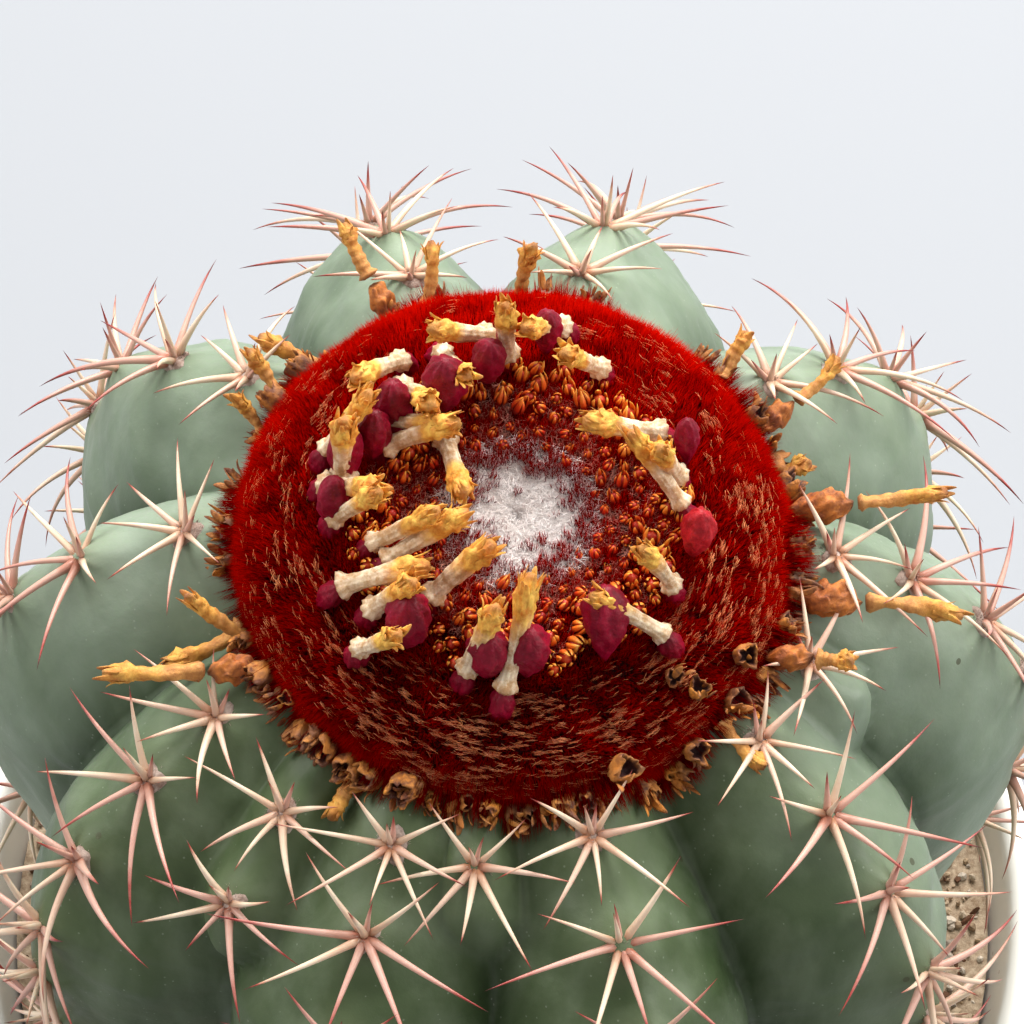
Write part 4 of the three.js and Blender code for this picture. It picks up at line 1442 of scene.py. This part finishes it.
def flower_lines(place, direction, length, steps, seeds, bend=2.4):
    """Centre lines that start along the direction and drift sideways by chance, more towards the head."""
    share = np.linspace(0, 1, steps)[None, :, None]
    side = unit(np.cross(direction, [[0.2, 0.1, 1.0]]))
    over = np.cross(side, direction)
    swing = ((varied(seeds) - 0.5)[:, None, None] * side[:, None]
             + (varied(seeds + 0.5) - 0.5)[:, None, None] * over[:, None])
    bow = bend * (share**2 - share * 0.7) * swing
    return place[:, None] + direction[:, None] * share * length[:, None, None] + bow


def flower_tubes(place, direction, length, width, seeds, steps=34, sides=24, bend=2.4, dented=1.0):
    """Tube radius = profile x (1 + ribs + crumple), with the crumple growing towards the head."""
    share = np.linspace(0, 1, steps)
    angle = turns(sides)[None, None]
    seed = seeds[:, None, None]
    step = share[None, :, None]
    profile = np.interp(share, TUBE_PROFILE[:, 0], TUBE_PROFILE[:, 1])[None, :, None] * width[:, None, None]
    ribs = 0.10 * np.cos(9 * angle + seed * 5 + 1.5 * np.sin(4 * step + seed))
    head = smoothstep(step, 0.56, 0.8)
    crumple = (np.sin(3 * angle + 17 * step + seed * 7) * 0.16
               + np.sin(7 * angle - 31 * step + seed * 3) * 0.13
               + np.sin(5 * angle + 47 * step) * 0.08)
    dents = dented * (0.05 * np.sin(2 * angle + 9 * step + seed * 11) + 0.03 * np.sin(40 * step + seed * 2))
    radii = profile * (1 + ribs * (1 - 0.5 * head) + crumple * (0.12 + 0.88 * head) + dents)
    result = swept(flower_lines(place, direction, length, steps, seeds, bend), radii, sides)
    furrows = (0.5 - 5 * ribs * np.ones_like(radii)).reshape(len(place), -1)
    result[2]["furrow"] = np.concatenate([furrows, np.zeros((len(place), 2))], 1).ravel()
    return result


# %% Flower petals
def petal_directions(forward, seeds, petals, looseness, helper):
    """For each petal round each axis: the axis, the way out from it and the way round it.

    A petal's angle is (its number + looseness x a fixed number from 0 to 1) / petals of a turn.
    """
    side = unit(np.cross(forward, [helper]))
    over = np.cross(side, forward)
    turn = (2 * np.pi * (np.arange(petals) + looseness * varied(seeds)[:, None]) / petals).ravel()
    side, over, forward = (np.repeat(vector, petals, 0) for vector in (side, over, forward))
    away = np.cos(turn)[:, None] * side + np.sin(turn)[:, None] * over
    return forward, away, np.cross(forward, away)


def flower_petals(place, direction, length, width, seeds, petals=11, steps=9, bend=2.4):
    """Curled strips round the head: out along the tube and then away from it by share^2."""
    line = flower_lines(place, direction, length, 40, seeds, bend)
    start = line[:, 27]
    forward = unit(line[:, 34] - line[:, 27])
    forward, away, around = petal_directions(forward, seeds, petals, 0.6, (0.2, 0.1, 1.0))
    petal_seed = (seeds[:, None] * 13 + np.arange(petals) * 1.9).ravel()
    share = np.linspace(0, 1, steps)[None, :, None]
    reach = (length.repeat(petals) * (0.24 + 0.20 * varied(petal_seed)))[:, None, None]
    open_ = (1.7 * (varied(petal_seed + 0.3) - 0.35))[:, None, None]
    sway = (varied(petal_seed + 0.6) - 0.5)[:, None, None] * 1.6
    paths = (np.repeat(start, petals, 0)[:, None]
             + forward[:, None] * reach * (share - 0.25 * share**3 * np.abs(open_))
             + away[:, None] * (width.repeat(petals)[:, None, None] * 1.25 + open_ * share**2.2)
             + around[:, None] * sway * share**2)
    radii = (0.46 * np.sin(np.pi * np.clip(0.16 + 0.80 * share[..., 0], 0, 1)) ** 0.7
             * (0.8 + 0.5 * varied(petal_seed))[:, None])
    result = swept(paths, radii, 6, hint=around, flatten=0.24)
    result[2]["along"] = 0.72 + 0.28 * result[2]["along"]
    result[2]["furrow"] = np.zeros(len(result[0]))
    return result


# %% Flower material
def make_flower_material(name, tube, rib, head, head_dark, tip):
    """Dry petal tissue: pale striped tube turning to a golden head, darker in its folds."""
    material, tree, shader = new_material(
        name, 0.62, Subsurface_Weight=0.2, Subsurface_Radius=(1.0, 0.6, 0.3), Subsurface_Scale=0.6 * MM)
    along = mark(tree, "along")
    stripes, _ = mottled(tree, 700.0, 3.4, tube, rib)
    golden, _ = mottled(tree, 520.0, 2.8, head, head_dark)
    share = ramp(tree, unsettled(tree, along, 240.0, 0.5), [(0.46, grey(0)), (0.66, grey(1))])
    lined = mixed(tree, maths(tree, "MULTIPLY", mark(tree, "furrow"), 0.5), stripes, rib)
    body = mixed(tree, share, lined, golden)
    ends = ramp(tree, along, [
        (0.0, grey(0.75)), (0.035, grey(0.35)), (0.09, grey(0)), (0.9, grey(0)), (1.0, grey(0.8))])
    connect(tree, shader.inputs["Base Color"], mixed(tree, ends, body, tip))
    roughened(tree, shader, 1300.0, 0.22, 0.7)
    return material


flower_material = make_flower_material(
    "dried_flower", colour(244, 228, 200), colour(186, 146, 102), colour(240, 190, 84), colour(196, 116, 22),
    colour(158, 100, 44))
flower_seeds = np.arange(len(FLOWERS)) + 0.21
flower_width = 0.88 + 0.26 * varied(flower_seeds)
flower_parts = (flower_place, flower_direction, FLOWERS[:, 4], flower_width, flower_seeds)
flowers = merge([flower_tubes(*flower_parts), flower_petals(*flower_parts)])
cap_piece("dried_flowers", flowers, flower_material,
          [f"dried_flower_{number}" for number in range(1, 13)])

# %% [markdown]
# ## Buds
#
# Inside the fruits stands a ring of small buds on the golden-angle spiral. Each is a knob of overlapping
# scales, red below and gold at the tips. One bud takes a six-sided core and six four-sided scales, and no
# more, because it is repeated so often.

# %% Bud shapes
def bud_places():
    """Buds at even area over the ring, less the ones that a fruit has pushed aside."""
    azimuth, length = golden_spiral(RING_START, RING_END, 2.62)
    place, normal, _, _ = on_cap(azimuth, length, 0.9)
    gap = np.linalg.norm(place[:, None, :2] - fruit_place[None, :, :2], axis=-1).min(1)
    kept = gap > 2.7
    return place[kept], normal[kept], length[kept]


bud_place, bud_normal, bud_length = bud_places()
bud_seeds = np.arange(len(bud_place)) * 3.0 + 0.37
bud_size = (0.48 + 0.40 * varied(bud_seeds)) * (0.84 + 0.42 * smoothstep(bud_length, 12, 21))
bud_axis = unit(bud_normal + 0.7 * tilts(bud_seeds, (0.1, 0.2, 0.3)))


def bud_cores():
    """Knobs: radius follows a half circle that is fuller low down."""
    height = np.array([0, 0.25, 0.5, 0.75, 0.93, 1.0])
    profile = np.array([0.55, 0.9, 1.0, 0.86, 0.55, 0.22])
    paths = bud_place[:, None] + bud_axis[:, None] * (height[None] * 2.3 * bud_size[:, None])[..., None]
    return swept(paths, profile[None] * bud_size[:, None] * 0.98, 6, axes=bud_axis)


def bud_petals(petals=6, steps=5):
    """Pointed scales that hug the knob and part at the top."""
    axis, away, around = petal_directions(bud_axis, bud_seeds, petals, 1.0, (0.1, 0.3, 1.0))
    seeds = (bud_seeds[:, None] + 0.17 * np.arange(petals)).ravel()
    place = np.repeat(bud_place, petals, 0)
    size = np.repeat(bud_size, petals)[:, None, None]
    share = np.linspace(0, 1, steps)[None, :, None]
    spread = 0.34 + 1.1 * (varied(seeds) - 0.5)[:, None, None]
    reach = (1.6 + 2.3 * varied(seeds + 0.5))[:, None, None]
    paths = (place[:, None] + axis[:, None] * size * (0.5 + reach * share)
             + away[:, None] * size * (1.02 + 0.16 * np.sin(np.pi * share) - spread * share**2.2))
    radii = np.array([0.34, 0.46, 0.42, 0.30, 0.08])[None] * size[..., 0]
    result = swept(paths, radii, 4, hint=around, flatten=0.35)
    result[2]["along"] = 0.35 + 0.65 * result[2]["along"]
    return result


# %% Bud material
def make_bud_material():
    """Scales: dark red at the foot, orange-red in the middle, gold at the tip; riper buds much yellower."""
    material, tree, shader = new_material("bud_scale", 0.5, Subsurface_Weight=0.15, Subsurface_Scale=0.5 * MM)
    shifted = unsettled(tree, mark(tree, "along"), 900.0, 0.5)
    young = ramp(tree, shifted, [
        (0.0, colour(70, 0, 0)), (0.4, colour(156, 10, 2)),
        (0.74, colour(206, 44, 6)), (1.0, colour(232, 136, 36))])
    ripe = ramp(tree, shifted, [
        (0.0, colour(92, 6, 2)), (0.35, colour(180, 40, 6)),
        (0.65, colour(220, 110, 18)), (1.0, colour(242, 182, 74))])
    connect(tree, shader.inputs["Base Color"], mixed(tree, mark(tree, "ripe"), young, ripe))
    return material


ripeness = 0.12 + 0.70 * smoothstep(bud_length, 13, 23) + 0.7 * (varied(bud_seeds + 0.8) - 0.5)
ripeness = np.clip(ripeness, 0, 1)
cores, petals = bud_cores(), bud_petals()
cores[2]["along"] = 0.45 * cores[2]["along"]
cores[2]["ripe"] = np.repeat(ripeness, len(cores[0]) // len(ripeness))
petals[2]["ripe"] = np.repeat(ripeness, len(petals[0]) // len(ripeness))
cap_piece("buds", merge([cores, petals]), make_bud_material())
print(len(bud_place), "buds")

# %% [markdown]
# ## Old remains round the foot of the cap
#
# As the cap grows, last year's fruits and flowers are pushed down its side and dry out there: brown husks
# like little cups, lumps of crumpled skin, and whole withered fruits with the flower still on. They are
# made by the same sweeps as the living ones, with a browner finish.

# %% Husk cups
# one row for each step of a cup's outline, up the outside, over the rim and down the inside:
# height, radius, how much of the rim's raggedness it takes, and how much it counts as inside, which sets its
# painted shade
CUP_OUTLINE = np.array([
    [-1.0, 0.5, 0, 0], [0.0, 1.25, 0.1, 0], [1.2, 1.75, 0.3, 0], [2.4, 1.8, 0.6, 0], [3.2, 1.68, 1, 0],
    [3.5, 1.52, 1, 0.1], [3.25, 1.30, 1, 0.5], [2.6, 1.15, 0.7, 1], [1.8, 0.9, 0.4, 1], [1.5, 0.3, 0.2, 1],
])


def husk_cups(azimuth, rise, size, seeds, sides=24):
    """Open cups: radius = outline x (1 + lobes + creases), and the rim goes up and down by three sines."""
    height, radius, rim, inside = CUP_OUTLINE.T
    place, normal = foot_places(azimuth, rise, -1.0)
    axis = unit(normal + 1.1 * tilts(seeds, (0.1, 0.2, 0.3)) + np.array([0, 0, 0.75]))
    paths = place[:, None] + axis[:, None] * (height[None] * size[:, None])[..., None]
    angle = turns(sides)
    seed, scale, ragged_share = seeds[:, None, None], size[:, None, None], rim[None, :, None]
    lobes = 0.13 * np.sin(3 * angle + seed * 5) + 0.08 * np.sin(5 * angle + seed)
    creases = 0.30 * creased(angle, height[None, :, None] * 0.2, seed, 7)
    radii = radius[None, :, None] * scale * (1 + lobes * ragged_share * 1.6 + creases)
    points, faces, marks = swept(paths, radii, sides, axes=axis)
    ragged = (0.40 * np.sin(3 * angle + 2 * seed) + 0.34 * np.sin(7 * angle + 5 * seed)
              + 0.22 * np.sin(10 * angle + seed))
    lift = (ragged * ragged_share * scale).reshape(len(azimuth), -1)
    lift = np.concatenate([lift, np.zeros((len(azimuth), 2))], 1)
    moved = points.reshape(len(azimuth), -1, 3) + lift[..., None] * axis[:, None]
    marks["inside"] = np.tile(np.append(np.repeat(inside, sides), [0, 1]), len(azimuth))
    return moved.reshape(-1, 3), faces, marks


# %% Lumps and shreds
def lumps(azimuth, rise, size, seeds, sides=14, steps=11):
    """Crumpled knobs: a ball's radius x (1 + three sines + wandering creases)."""
    place, normal = foot_places(azimuth, rise, -0.2)
    axis = unit(normal + 1.4 * tilts(seeds, (0.4, 0.5, 0.6)))
    share = np.linspace(0.02, 0.98, steps)
    paths = place[:, None] + axis[:, None] * ((share - 0.4)[None] * 4.2 * size[:, None])[..., None]
    angle = turns(sides)[None, None]
    step, seed = share[None, :, None], seeds[:, None, None]
    folds = (0.26 * np.sin(3 * angle + 7 * step + seed * 5)
             + 0.18 * np.sin(5 * angle - 13 * step + seed * 3)
             + 0.13 * np.sin(8 * angle + 23 * step + seed * 9)
             + 0.35 * creased(angle, step, seed, 5))
    radii = (1.55 * np.sin(np.pi * share) ** 0.6)[None, :, None] * size[:, None, None] * (1 + folds)
    points, faces, marks = swept(paths, radii, sides, axes=axis)
    return points, faces, {**marks, "inside": np.zeros(len(points))}


def shreds(azimuth, rise, seeds, petals):
    """Ragged strips of old petal that stick out round each husk."""
    place, normal = foot_places(azimuth, rise, 0.6)
    direction = unit(normal + 1.2 * tilts(seeds, (0.7, 0.8, 0.9)) + np.array([0, 0, 0.5]))
    length = 6 + 4 * varied(seeds + 0.2)
    start = place - direction * 0.66 * length[:, None]
    width = np.full(len(seeds), 0.7)
    points, faces, marks = flower_petals(start, direction, length, width, seeds, petals, steps=7, bend=0.5)
    return points, faces, {"along": marks["along"], "tone": marks["tone"], "inside": np.zeros(len(points))}


# %% Husk material
def make_husk_material():
    """Dry skin: tan to orange-brown outside, painted shade in dark red-brown inside the cups, with greyed
    patches.
    """
    material, tree, shader = new_material("old_husk", 0.6)
    skin, _ = mottled(tree, 300.0, 4.2, colour(84, 36, 8), colour(224, 144, 50))
    _, grey_patches = mottled(tree, 210.0, 4.5, colour(0, 0, 0), colour(255, 255, 255))
    toned = mixed(tree, maths(tree, "MULTIPLY", mark(tree, "tone"), 0.7), skin, colour(120, 58, 20))
    weathered = mixed(tree, maths(tree, "MULTIPLY", grey_patches, 0.22), toned, colour(128, 106, 84))
    # Painted shade: the inside of each cup is painted dark red-brown.
    inside_shaded = mixed(tree, mark(tree, "inside"), weathered, colour(52, 10, 8))
    connect(tree, shader.inputs["Base Color"], inside_shaded)
    roughened(tree, shader, 1100.0, 0.3, 0.7)
    return material


# %% Where the husks sit
CUP_AZIMUTHS = np.array([
    350, 356, 3, 9, 15, 21, 27, 33, 38, 43, 45, 50, 59, 65, 71, 344, 338, 332, 326, 320, 314, 308, 300,
    292, 283, 274, 266, 104, 112, 121, 131, 146, 196, 214, 228, 238, 249], float)
# azimuth, rise and size of the cups that stand higher on the side, in the order of the list above
HIGH_CUPS = np.array([[21, 4.5, 1.15], [43, 12.0, 0.75], [45, 7.0, 0.85], [59, 8.0, 1.0]])
cup_seeds = np.arange(len(CUP_AZIMUTHS)) + 0.6
cup_rise = 3.2 * varied(cup_seeds) - 1.0
cup_size = 0.52 + 0.72 * varied(cup_seeds + 0.9) ** 1.6
stands_high = np.isin(CUP_AZIMUTHS, HIGH_CUPS[:, 0])
cup_rise[stands_high] = HIGH_CUPS[:, 1]
cup_size[stands_high] = HIGH_CUPS[:, 2]
LUMP_CENTRES = np.array([
    0, 12, 24, 36, 48, 60, 72, 82, 90, 99, 106, 114, 122, 138, 160, 180, 201, 211, 222, 233, 243, 258,
    272, 287, 303, 316, 328, 340, 352], float)
lump_azimuths = (LUMP_CENTRES[:, None] + np.array([-2.6, 0.4, 3.1])).ravel()[::-1]
lump_seeds = np.arange(len(lump_azimuths)) + 0.15
lump_azimuths = lump_azimuths + 9 * (varied(lump_seeds) - 0.5)
lump_rise = 3.4 * varied(lump_seeds + 0.3) - 1.6
lump_size = 0.36 + 0.80 * varied(lump_seeds + 0.5) ** 2
husks = merge([
    husk_cups(CUP_AZIMUTHS, cup_rise, cup_size, cup_seeds),
    lumps(lump_azimuths, lump_rise, lump_size, lump_seeds),
    shreds(lump_azimuths, lump_rise, lump_seeds + 40, 4),
    shreds(CUP_AZIMUTHS, cup_rise, cup_seeds + 80, 3)])
cap_piece("old_husks", husks, make_husk_material())

# %% Withered flowers and fruits
# azimuth, rise above the skin, direction it points, slope above level, length, width of its fruit (0: none)
WITHERED = np.array([
    [98, 2, 93, 12, 13, 2.3], [79, 1, 84, 4, 14, 2.5], [46, 1, 40, -12, 9, 0], [287, 1, 300, -8, 13, 0],
    [300, 1, 276, 6, 14, 2.0], [291, 1, 250, 40, 12, 0], [244, 1, 225, 42, 9, 0], [222, 1, 256, 18, 12, 0],
    [199, 1, 168, 48, 10, 0], [178, 1, 175, 66, 12, 0], [236, 1, 222, 30, 9, 0], [108, 1, 122, 26, 8, 0],
    [206, 1, 212, 24, 9, 1.8], [328, 1, 330, -16, 8, 0], [64, 2, 70, 35, 6, 1.8], [118, 1, 130, 8, 9, 1.8],
    [131, 1, 150, 25, 8, 0],
])
withered_seeds = np.arange(len(WITHERED)) + 0.44
withered_place, _ = foot_places(WITHERED[:, 0], WITHERED[:, 1])
withered_direction = outward(WITHERED[:, 2]) * np.cos(np.radians(WITHERED[:, 3]))[:, None]
withered_direction[:, 2] = np.sin(np.radians(WITHERED[:, 3]))
with_fruit = WITHERED[:, 5] > 0
fruit_reach = np.where(with_fruit, 4.2 * WITHERED[:, 5], 0.0)
withered_parts = (withered_place + withered_direction * fruit_reach[:, None], withered_direction,
                  WITHERED[:, 4], 0.66 + 0.24 * varied(withered_seeds), withered_seeds)
withered = merge([flower_tubes(*withered_parts, steps=26, sides=16, bend=6.5, dented=3.5),
                  flower_petals(*withered_parts, petals=6, bend=6.5)])
old_flower_material = make_flower_material(
    "withered_flower", colour(216, 158, 84), colour(170, 112, 52), colour(226, 168, 74), colour(178, 110, 36),
    colour(120, 70, 36))
cap_piece("withered_flowers", withered, old_flower_material)

points, faces, marks = fruit_shapes(
    withered_place[with_fruit] - withered_direction[with_fruit] * 1.5, withered_direction[with_fruit],
    4.6 * WITHERED[with_fruit, 5], WITHERED[with_fruit, 5])
crumple = np.sin(points[:, 0] * 2.3) * np.sin(points[:, 1] * 1.9 + 1) * 0.55
shrunk = points + crumple[:, None] * np.array([0.4, 0.4, 1.0])
old_fruit_material = make_flower_material(
    "withered_fruit", colour(176, 96, 32), colour(122, 58, 20), colour(196, 118, 44), colour(128, 66, 24),
    colour(96, 60, 40))
cap_piece("withered_fruits", (shrunk, faces, marks), old_fruit_material)

# %% [markdown]
# ## Grit on the soil
#
# The soil is dressed with coarse sand and grit. A bumpy bed follows the stem's foot on one side and the
# pot's wall on the other, and some thousands of separate grains lie on it, each a twenty-sided pebble
# that has been turned and stretched by chance.

# %% Grit bed
def grit_bed(columns=240, rows=26):
    """A ring: its top runs from the stem's foot to the wall, and it closes underneath."""
    azimuth = np.linspace(0, 360, columns, endpoint=False)
    foot_latitude = -np.degrees(np.arcsin((STEM_WIDEST_Z - GRIT_TOP + 1.0) / FOOT_HEIGHT))
    foot = skin_point(azimuth, np.full(columns, foot_latitude))
    inner = np.hypot(foot[:, 0], foot[:, 1]) + 0.5
    share = np.linspace(0, 1, rows)[:, None]
    radius = inner + (GRIT_RADIUS - 0.15 - inner) * share
    top = outward(azimuth)[None] * radius[..., None]
    bumps = (cloud(top[..., 0] / 3 + 40, top[..., 1] / 3 + 40, 21, 999)
             + cloud(top[..., 0] / 1.2, top[..., 1] / 1.2, 22, 999))
    top[..., 2] = GRIT_TOP - 1.9 + 0.7 * bumps
    base = outward(azimuth)[None] * radius[::-1][..., None]
    base[..., 2] = box_mm("grit_top_dressing")[0][2]
    grid = np.concatenate([top, base])
    index = np.arange(grid.shape[0] * columns).reshape(-1, columns)
    below, after = np.roll(index, -1, 0), np.roll(index, -1, 1)
    quads = np.stack([index, below, np.roll(below, -1, 1), after], -1).reshape(-1, 4)
    return grid.reshape(-1, 3), [quads], inner


# %% Grains
BARK_EVERY = 9  # one grain in nine is a flat chip of bark


def grains(inner, count=3600):
    """Twenty-sided pebbles: corners of an icosahedron, stretched and turned by chance."""
    chance = np.random.default_rng(53)
    golden = (1 + 5**0.5) / 2
    corners = np.array([
        [-1, golden, 0], [1, golden, 0], [-1, -golden, 0], [1, -golden, 0],
        [0, -1, golden], [0, 1, golden], [0, -1, -golden], [0, 1, -golden],
        [golden, 0, -1], [golden, 0, 1], [-golden, 0, -1], [-golden, 0, 1]])
    sides = np.array([
        [0, 11, 5], [0, 5, 1], [0, 1, 7], [0, 7, 10], [0, 10, 11], [1, 5, 9], [5, 11, 4], [11, 10, 2],
        [10, 7, 6], [7, 1, 8], [3, 9, 4], [3, 4, 2], [3, 2, 6], [3, 6, 8], [3, 8, 9], [4, 9, 5], [2, 4, 11],
        [6, 2, 10], [8, 6, 7], [9, 8, 1]])
    azimuth = chance.uniform(0, 360, count)
    inside = np.interp(azimuth, np.linspace(0, 360, len(inner)), inner)
    size = 0.35 + 0.9 * chance.random(count) ** 2.5
    limit = GRIT_RADIUS - 0.6 - 1.5 * size
    radius = np.sqrt(chance.uniform((inside + 1.2) ** 2, limit**2))
    centre = outward(azimuth) * radius[:, None]
    centre[:, 2] = GRIT_TOP - 1.2 + 0.5 * size + chance.normal(0, 0.15, count)
    stretch = chance.uniform(0.65, 1.35, (count, 1, 3))
    stretch[::BARK_EVERY, :, 2] *= 0.45
    stretch[::BARK_EVERY, :, 0] *= 1.7
    turn = unit(chance.normal(0, 1, (count, 4)))
    w, x, y, z = turn.T
    matrix = np.stack([
        1 - 2 * (y * y + z * z), 2 * (x * y - z * w), 2 * (x * z + y * w),
        2 * (x * y + z * w), 1 - 2 * (x * x + z * z), 2 * (y * z - x * w),
        2 * (x * z - y * w), 2 * (y * z + x * w), 1 - 2 * (x * x + y * y)], -1).reshape(count, 3, 3)
    rough = chance.uniform(0.8, 1.15, (count, 12, 1))
    shape = corners[None] / 1.9 * stretch * rough * size[:, None, None]
    points = centre[:, None] + np.einsum("nij,nkj->nki", matrix, shape)
    faces = (sides[None] + 12 * np.arange(count)[:, None, None]).reshape(-1, 3)
    bark = (np.arange(count) % BARK_EVERY == 0) * 1.0
    marks = {"tone": np.repeat(chance.random(count), 12), "bark": np.repeat(bark, 12)}
    return points.reshape(-1, 3), [faces], marks


# %% Grit finish
def make_grit_material(name, separate):
    """Sandy tan, with brown patches; separate grains also vary from grey to cream, and some are bark."""
    material, tree, shader = new_material(name, 0.9)
    sand, _ = mottled(tree, 90.0, 2.6, colour(132, 106, 80), colour(184, 162, 136))
    fine, _ = mottled(tree, 900.0, 3.0, colour(108, 84, 62), colour(206, 188, 164))
    shade = mixed(tree, 0.45, sand, fine)
    if separate:
        stone = ramp(tree, mark(tree, "tone"), [
            (0.0, colour(112, 86, 62)), (0.3, colour(168, 140, 108)), (0.6, colour(196, 176, 150)),
            (0.85, colour(220, 210, 196)), (1.0, colour(142, 134, 126))])
        shade = mixed(tree, 0.6, shade, stone)
        shade = mixed(tree, mark(tree, "bark"), shade, colour(96, 62, 40))
    connect(tree, shader.inputs["Base Color"], shade)
    roughened(tree, shader, 1400.0, 0.3, 0.7)
    return material


points, faces, stem_foot_radius = grit_bed()
make_piece("grit_bed", points, faces, make_grit_material("grit_bed", False), ["grit_top_dressing"])
points, faces, marks = grains(stem_foot_radius)
make_piece("grit_grains", points, faces, make_grit_material("grit_grains", True),
           marks=marks, smooth=False)

# %% [markdown]
# ## Pot
#
# The pot is plain thrown stoneware with an off-white glaze: a tapered wall, a rolled band at the rim and
# an unglazed foot. It is one outline turned about the middle, with rounded corners, and three drain holes
# are cut through its floor.

# %% Pot wall
POT_SIDES = 176
# radius and height round the wall, from the middle of the underside to the middle of the floor inside
POT_OUTLINE = np.array([
    [1, 0], [30, 0], [66, 0], [68.4, 0.25], [69.6, 1.1], [70.2, 2.4], [75, 26], [80, 50], [85, 75],
    [89.6, 98], [90.4, 100.4], [91.6, 101.5], [93.0, 102.3], [93.7, 103.2], [94.0, 104.6],
    [94.0, 109.5], [94.0, 114.6],
    [93.6, 116.2], [92.4, 117.5], [91.0, 118.0], [89.4, 117.9], [88.2, 117.2], [87.6, 116.0], [87.2, 113.5],
    [85.2, 102], [80, 79], [75, 55], [70, 31], [65.4, 11.6], [64.2, 8.6], [62.6, 7.3], [60, 7.0], [30, 7.0],
    [1, 7.0]])


def pot_surface():
    """The outline turned round, with long steps shared out so that no face is too thin."""
    gaps = np.hypot(*np.diff(POT_OUTLINE, axis=0).T)
    counts = np.maximum(1, np.ceil(gaps / 5.0)).astype(int)
    index = np.concatenate([np.linspace(i, i + 1, n, endpoint=False) for i, n in enumerate(counts)])
    index = np.append(index, len(POT_OUTLINE) - 1)
    radius = np.interp(index, np.arange(len(POT_OUTLINE)), POT_OUTLINE[:, 0])
    height = np.interp(index, np.arange(len(POT_OUTLINE)), POT_OUTLINE[:, 1])
    grid = outward(np.linspace(0, 360, POT_SIDES, endpoint=False))[None] * radius[:, None, None]
    grid[..., 2] = height[:, None]
    return closed_skin(grid[::-1])


def make_glaze_material():
    """Off-white glaze with faint iron specks and soft pooling; bare buff clay under the foot."""
    material, tree, shader = new_material("pot_glaze", 0.28, Coat_Weight=0.3, Coat_Roughness=0.12)
    place = position(tree)
    glaze, _ = mottled(tree, 22.0, 1.2, colour(222, 219, 212), colour(236, 234, 229))
    speckled = mixed(tree, flecked(tree, 260.0, 0.10, 0.30, 0.45), glaze, colour(150, 120, 92))
    height = add(tree, "ShaderNodeSeparateXYZ", inputs={"Vector": place}).outputs["Z"]
    wander = add(tree, "ShaderNodeTexNoise", inputs={"Vector": place, "Scale": 60.0})
    edge = maths(tree, "ADD", height, maths(tree, "MULTIPLY", wander.outputs["Fac"], 1.0 * MM))
    bare = maths(tree, "LESS_THAN", edge, 1.7 * MM)
    connect(tree, shader.inputs["Base Color"], mixed(tree, bare, speckled, colour(188, 160, 130)))
    connect(tree, shader.inputs["Roughness"], maths(tree, "ADD", maths(tree, "MULTIPLY", bare, 0.55), 0.28))
    roughened(tree, shader, 40.0, 0.5, 0.4, 0.5)
    return material


# %% Drain holes
DRAIN_DISTANCE = 34.0  # from the pot's middle to a hole's
DRAIN_RADIUS = 6.0


def drain_cutters():
    """Three upright rods where the frame's drain holes are, one mesh."""
    place = outward(np.array([0.0, 120.0, 240.0])) * DRAIN_DISTANCE
    axis = np.repeat([[0, 0, 1.0]], 3, 0)
    paths = place[:, None] + np.linspace(-5, 12, 4)[None, :, None] * axis[:, None]
    return swept(paths, np.full((3, 4), DRAIN_RADIUS), 40, axes=axis)


points, faces = pot_surface()
pot = make_piece("pot_wall", points, faces, make_glaze_material(), ["pot"])
points, faces, _ = drain_cutters()
cutter_mesh = bpy.data.meshes.new("drain_cutter")
cutter_mesh.from_pydata((points * MM).tolist(), [], [face.tolist() for group in faces for face in group])
cutter = bpy.data.objects.new("drain_cutter", cutter_mesh)
bpy.context.scene.collection.objects.link(cutter)
cut = pot.modifiers.new("drain_holes", "BOOLEAN")
cut.operation, cut.solver, cut.object = "DIFFERENCE", "EXACT", cutter
bpy.context.view_layer.update()
drained = bpy.data.meshes.new_from_object(pot.evaluated_get(bpy.context.evaluated_depsgraph_get()))
pot.modifiers.clear()
pot.data = drained
bpy.data.objects.remove(cutter)
print("pot wall:", len(drained.polygons), "faces after the three holes are cut")

# %% [markdown]
# ## Potting mix
#
# The mix under the grit keeps the frame's own shape, and gets a dark, crumbly finish.

# %% Potting mix finish
def make_mix_material():
    """Peaty brown crumbs with pale bits of grit."""
    material, tree, shader = new_material("potting_mix", 0.95)
    crumbs, _ = mottled(tree, 240.0, 3.0, colour(48, 34, 26), colour(92, 70, 52))
    gritty = mixed(tree, flecked(tree, 420.0, 0.25, 0.25), crumbs, colour(196, 184, 164))
    connect(tree, shader.inputs["Base Color"], gritty)
    roughened(tree, shader, 700.0, 0.8, 0.7)
    return material


mix_material = make_mix_material()
for slot in bpy.data.objects["potting_mix"].material_slots:
    slot.material = mix_material
print("finished:", mix_material.name)
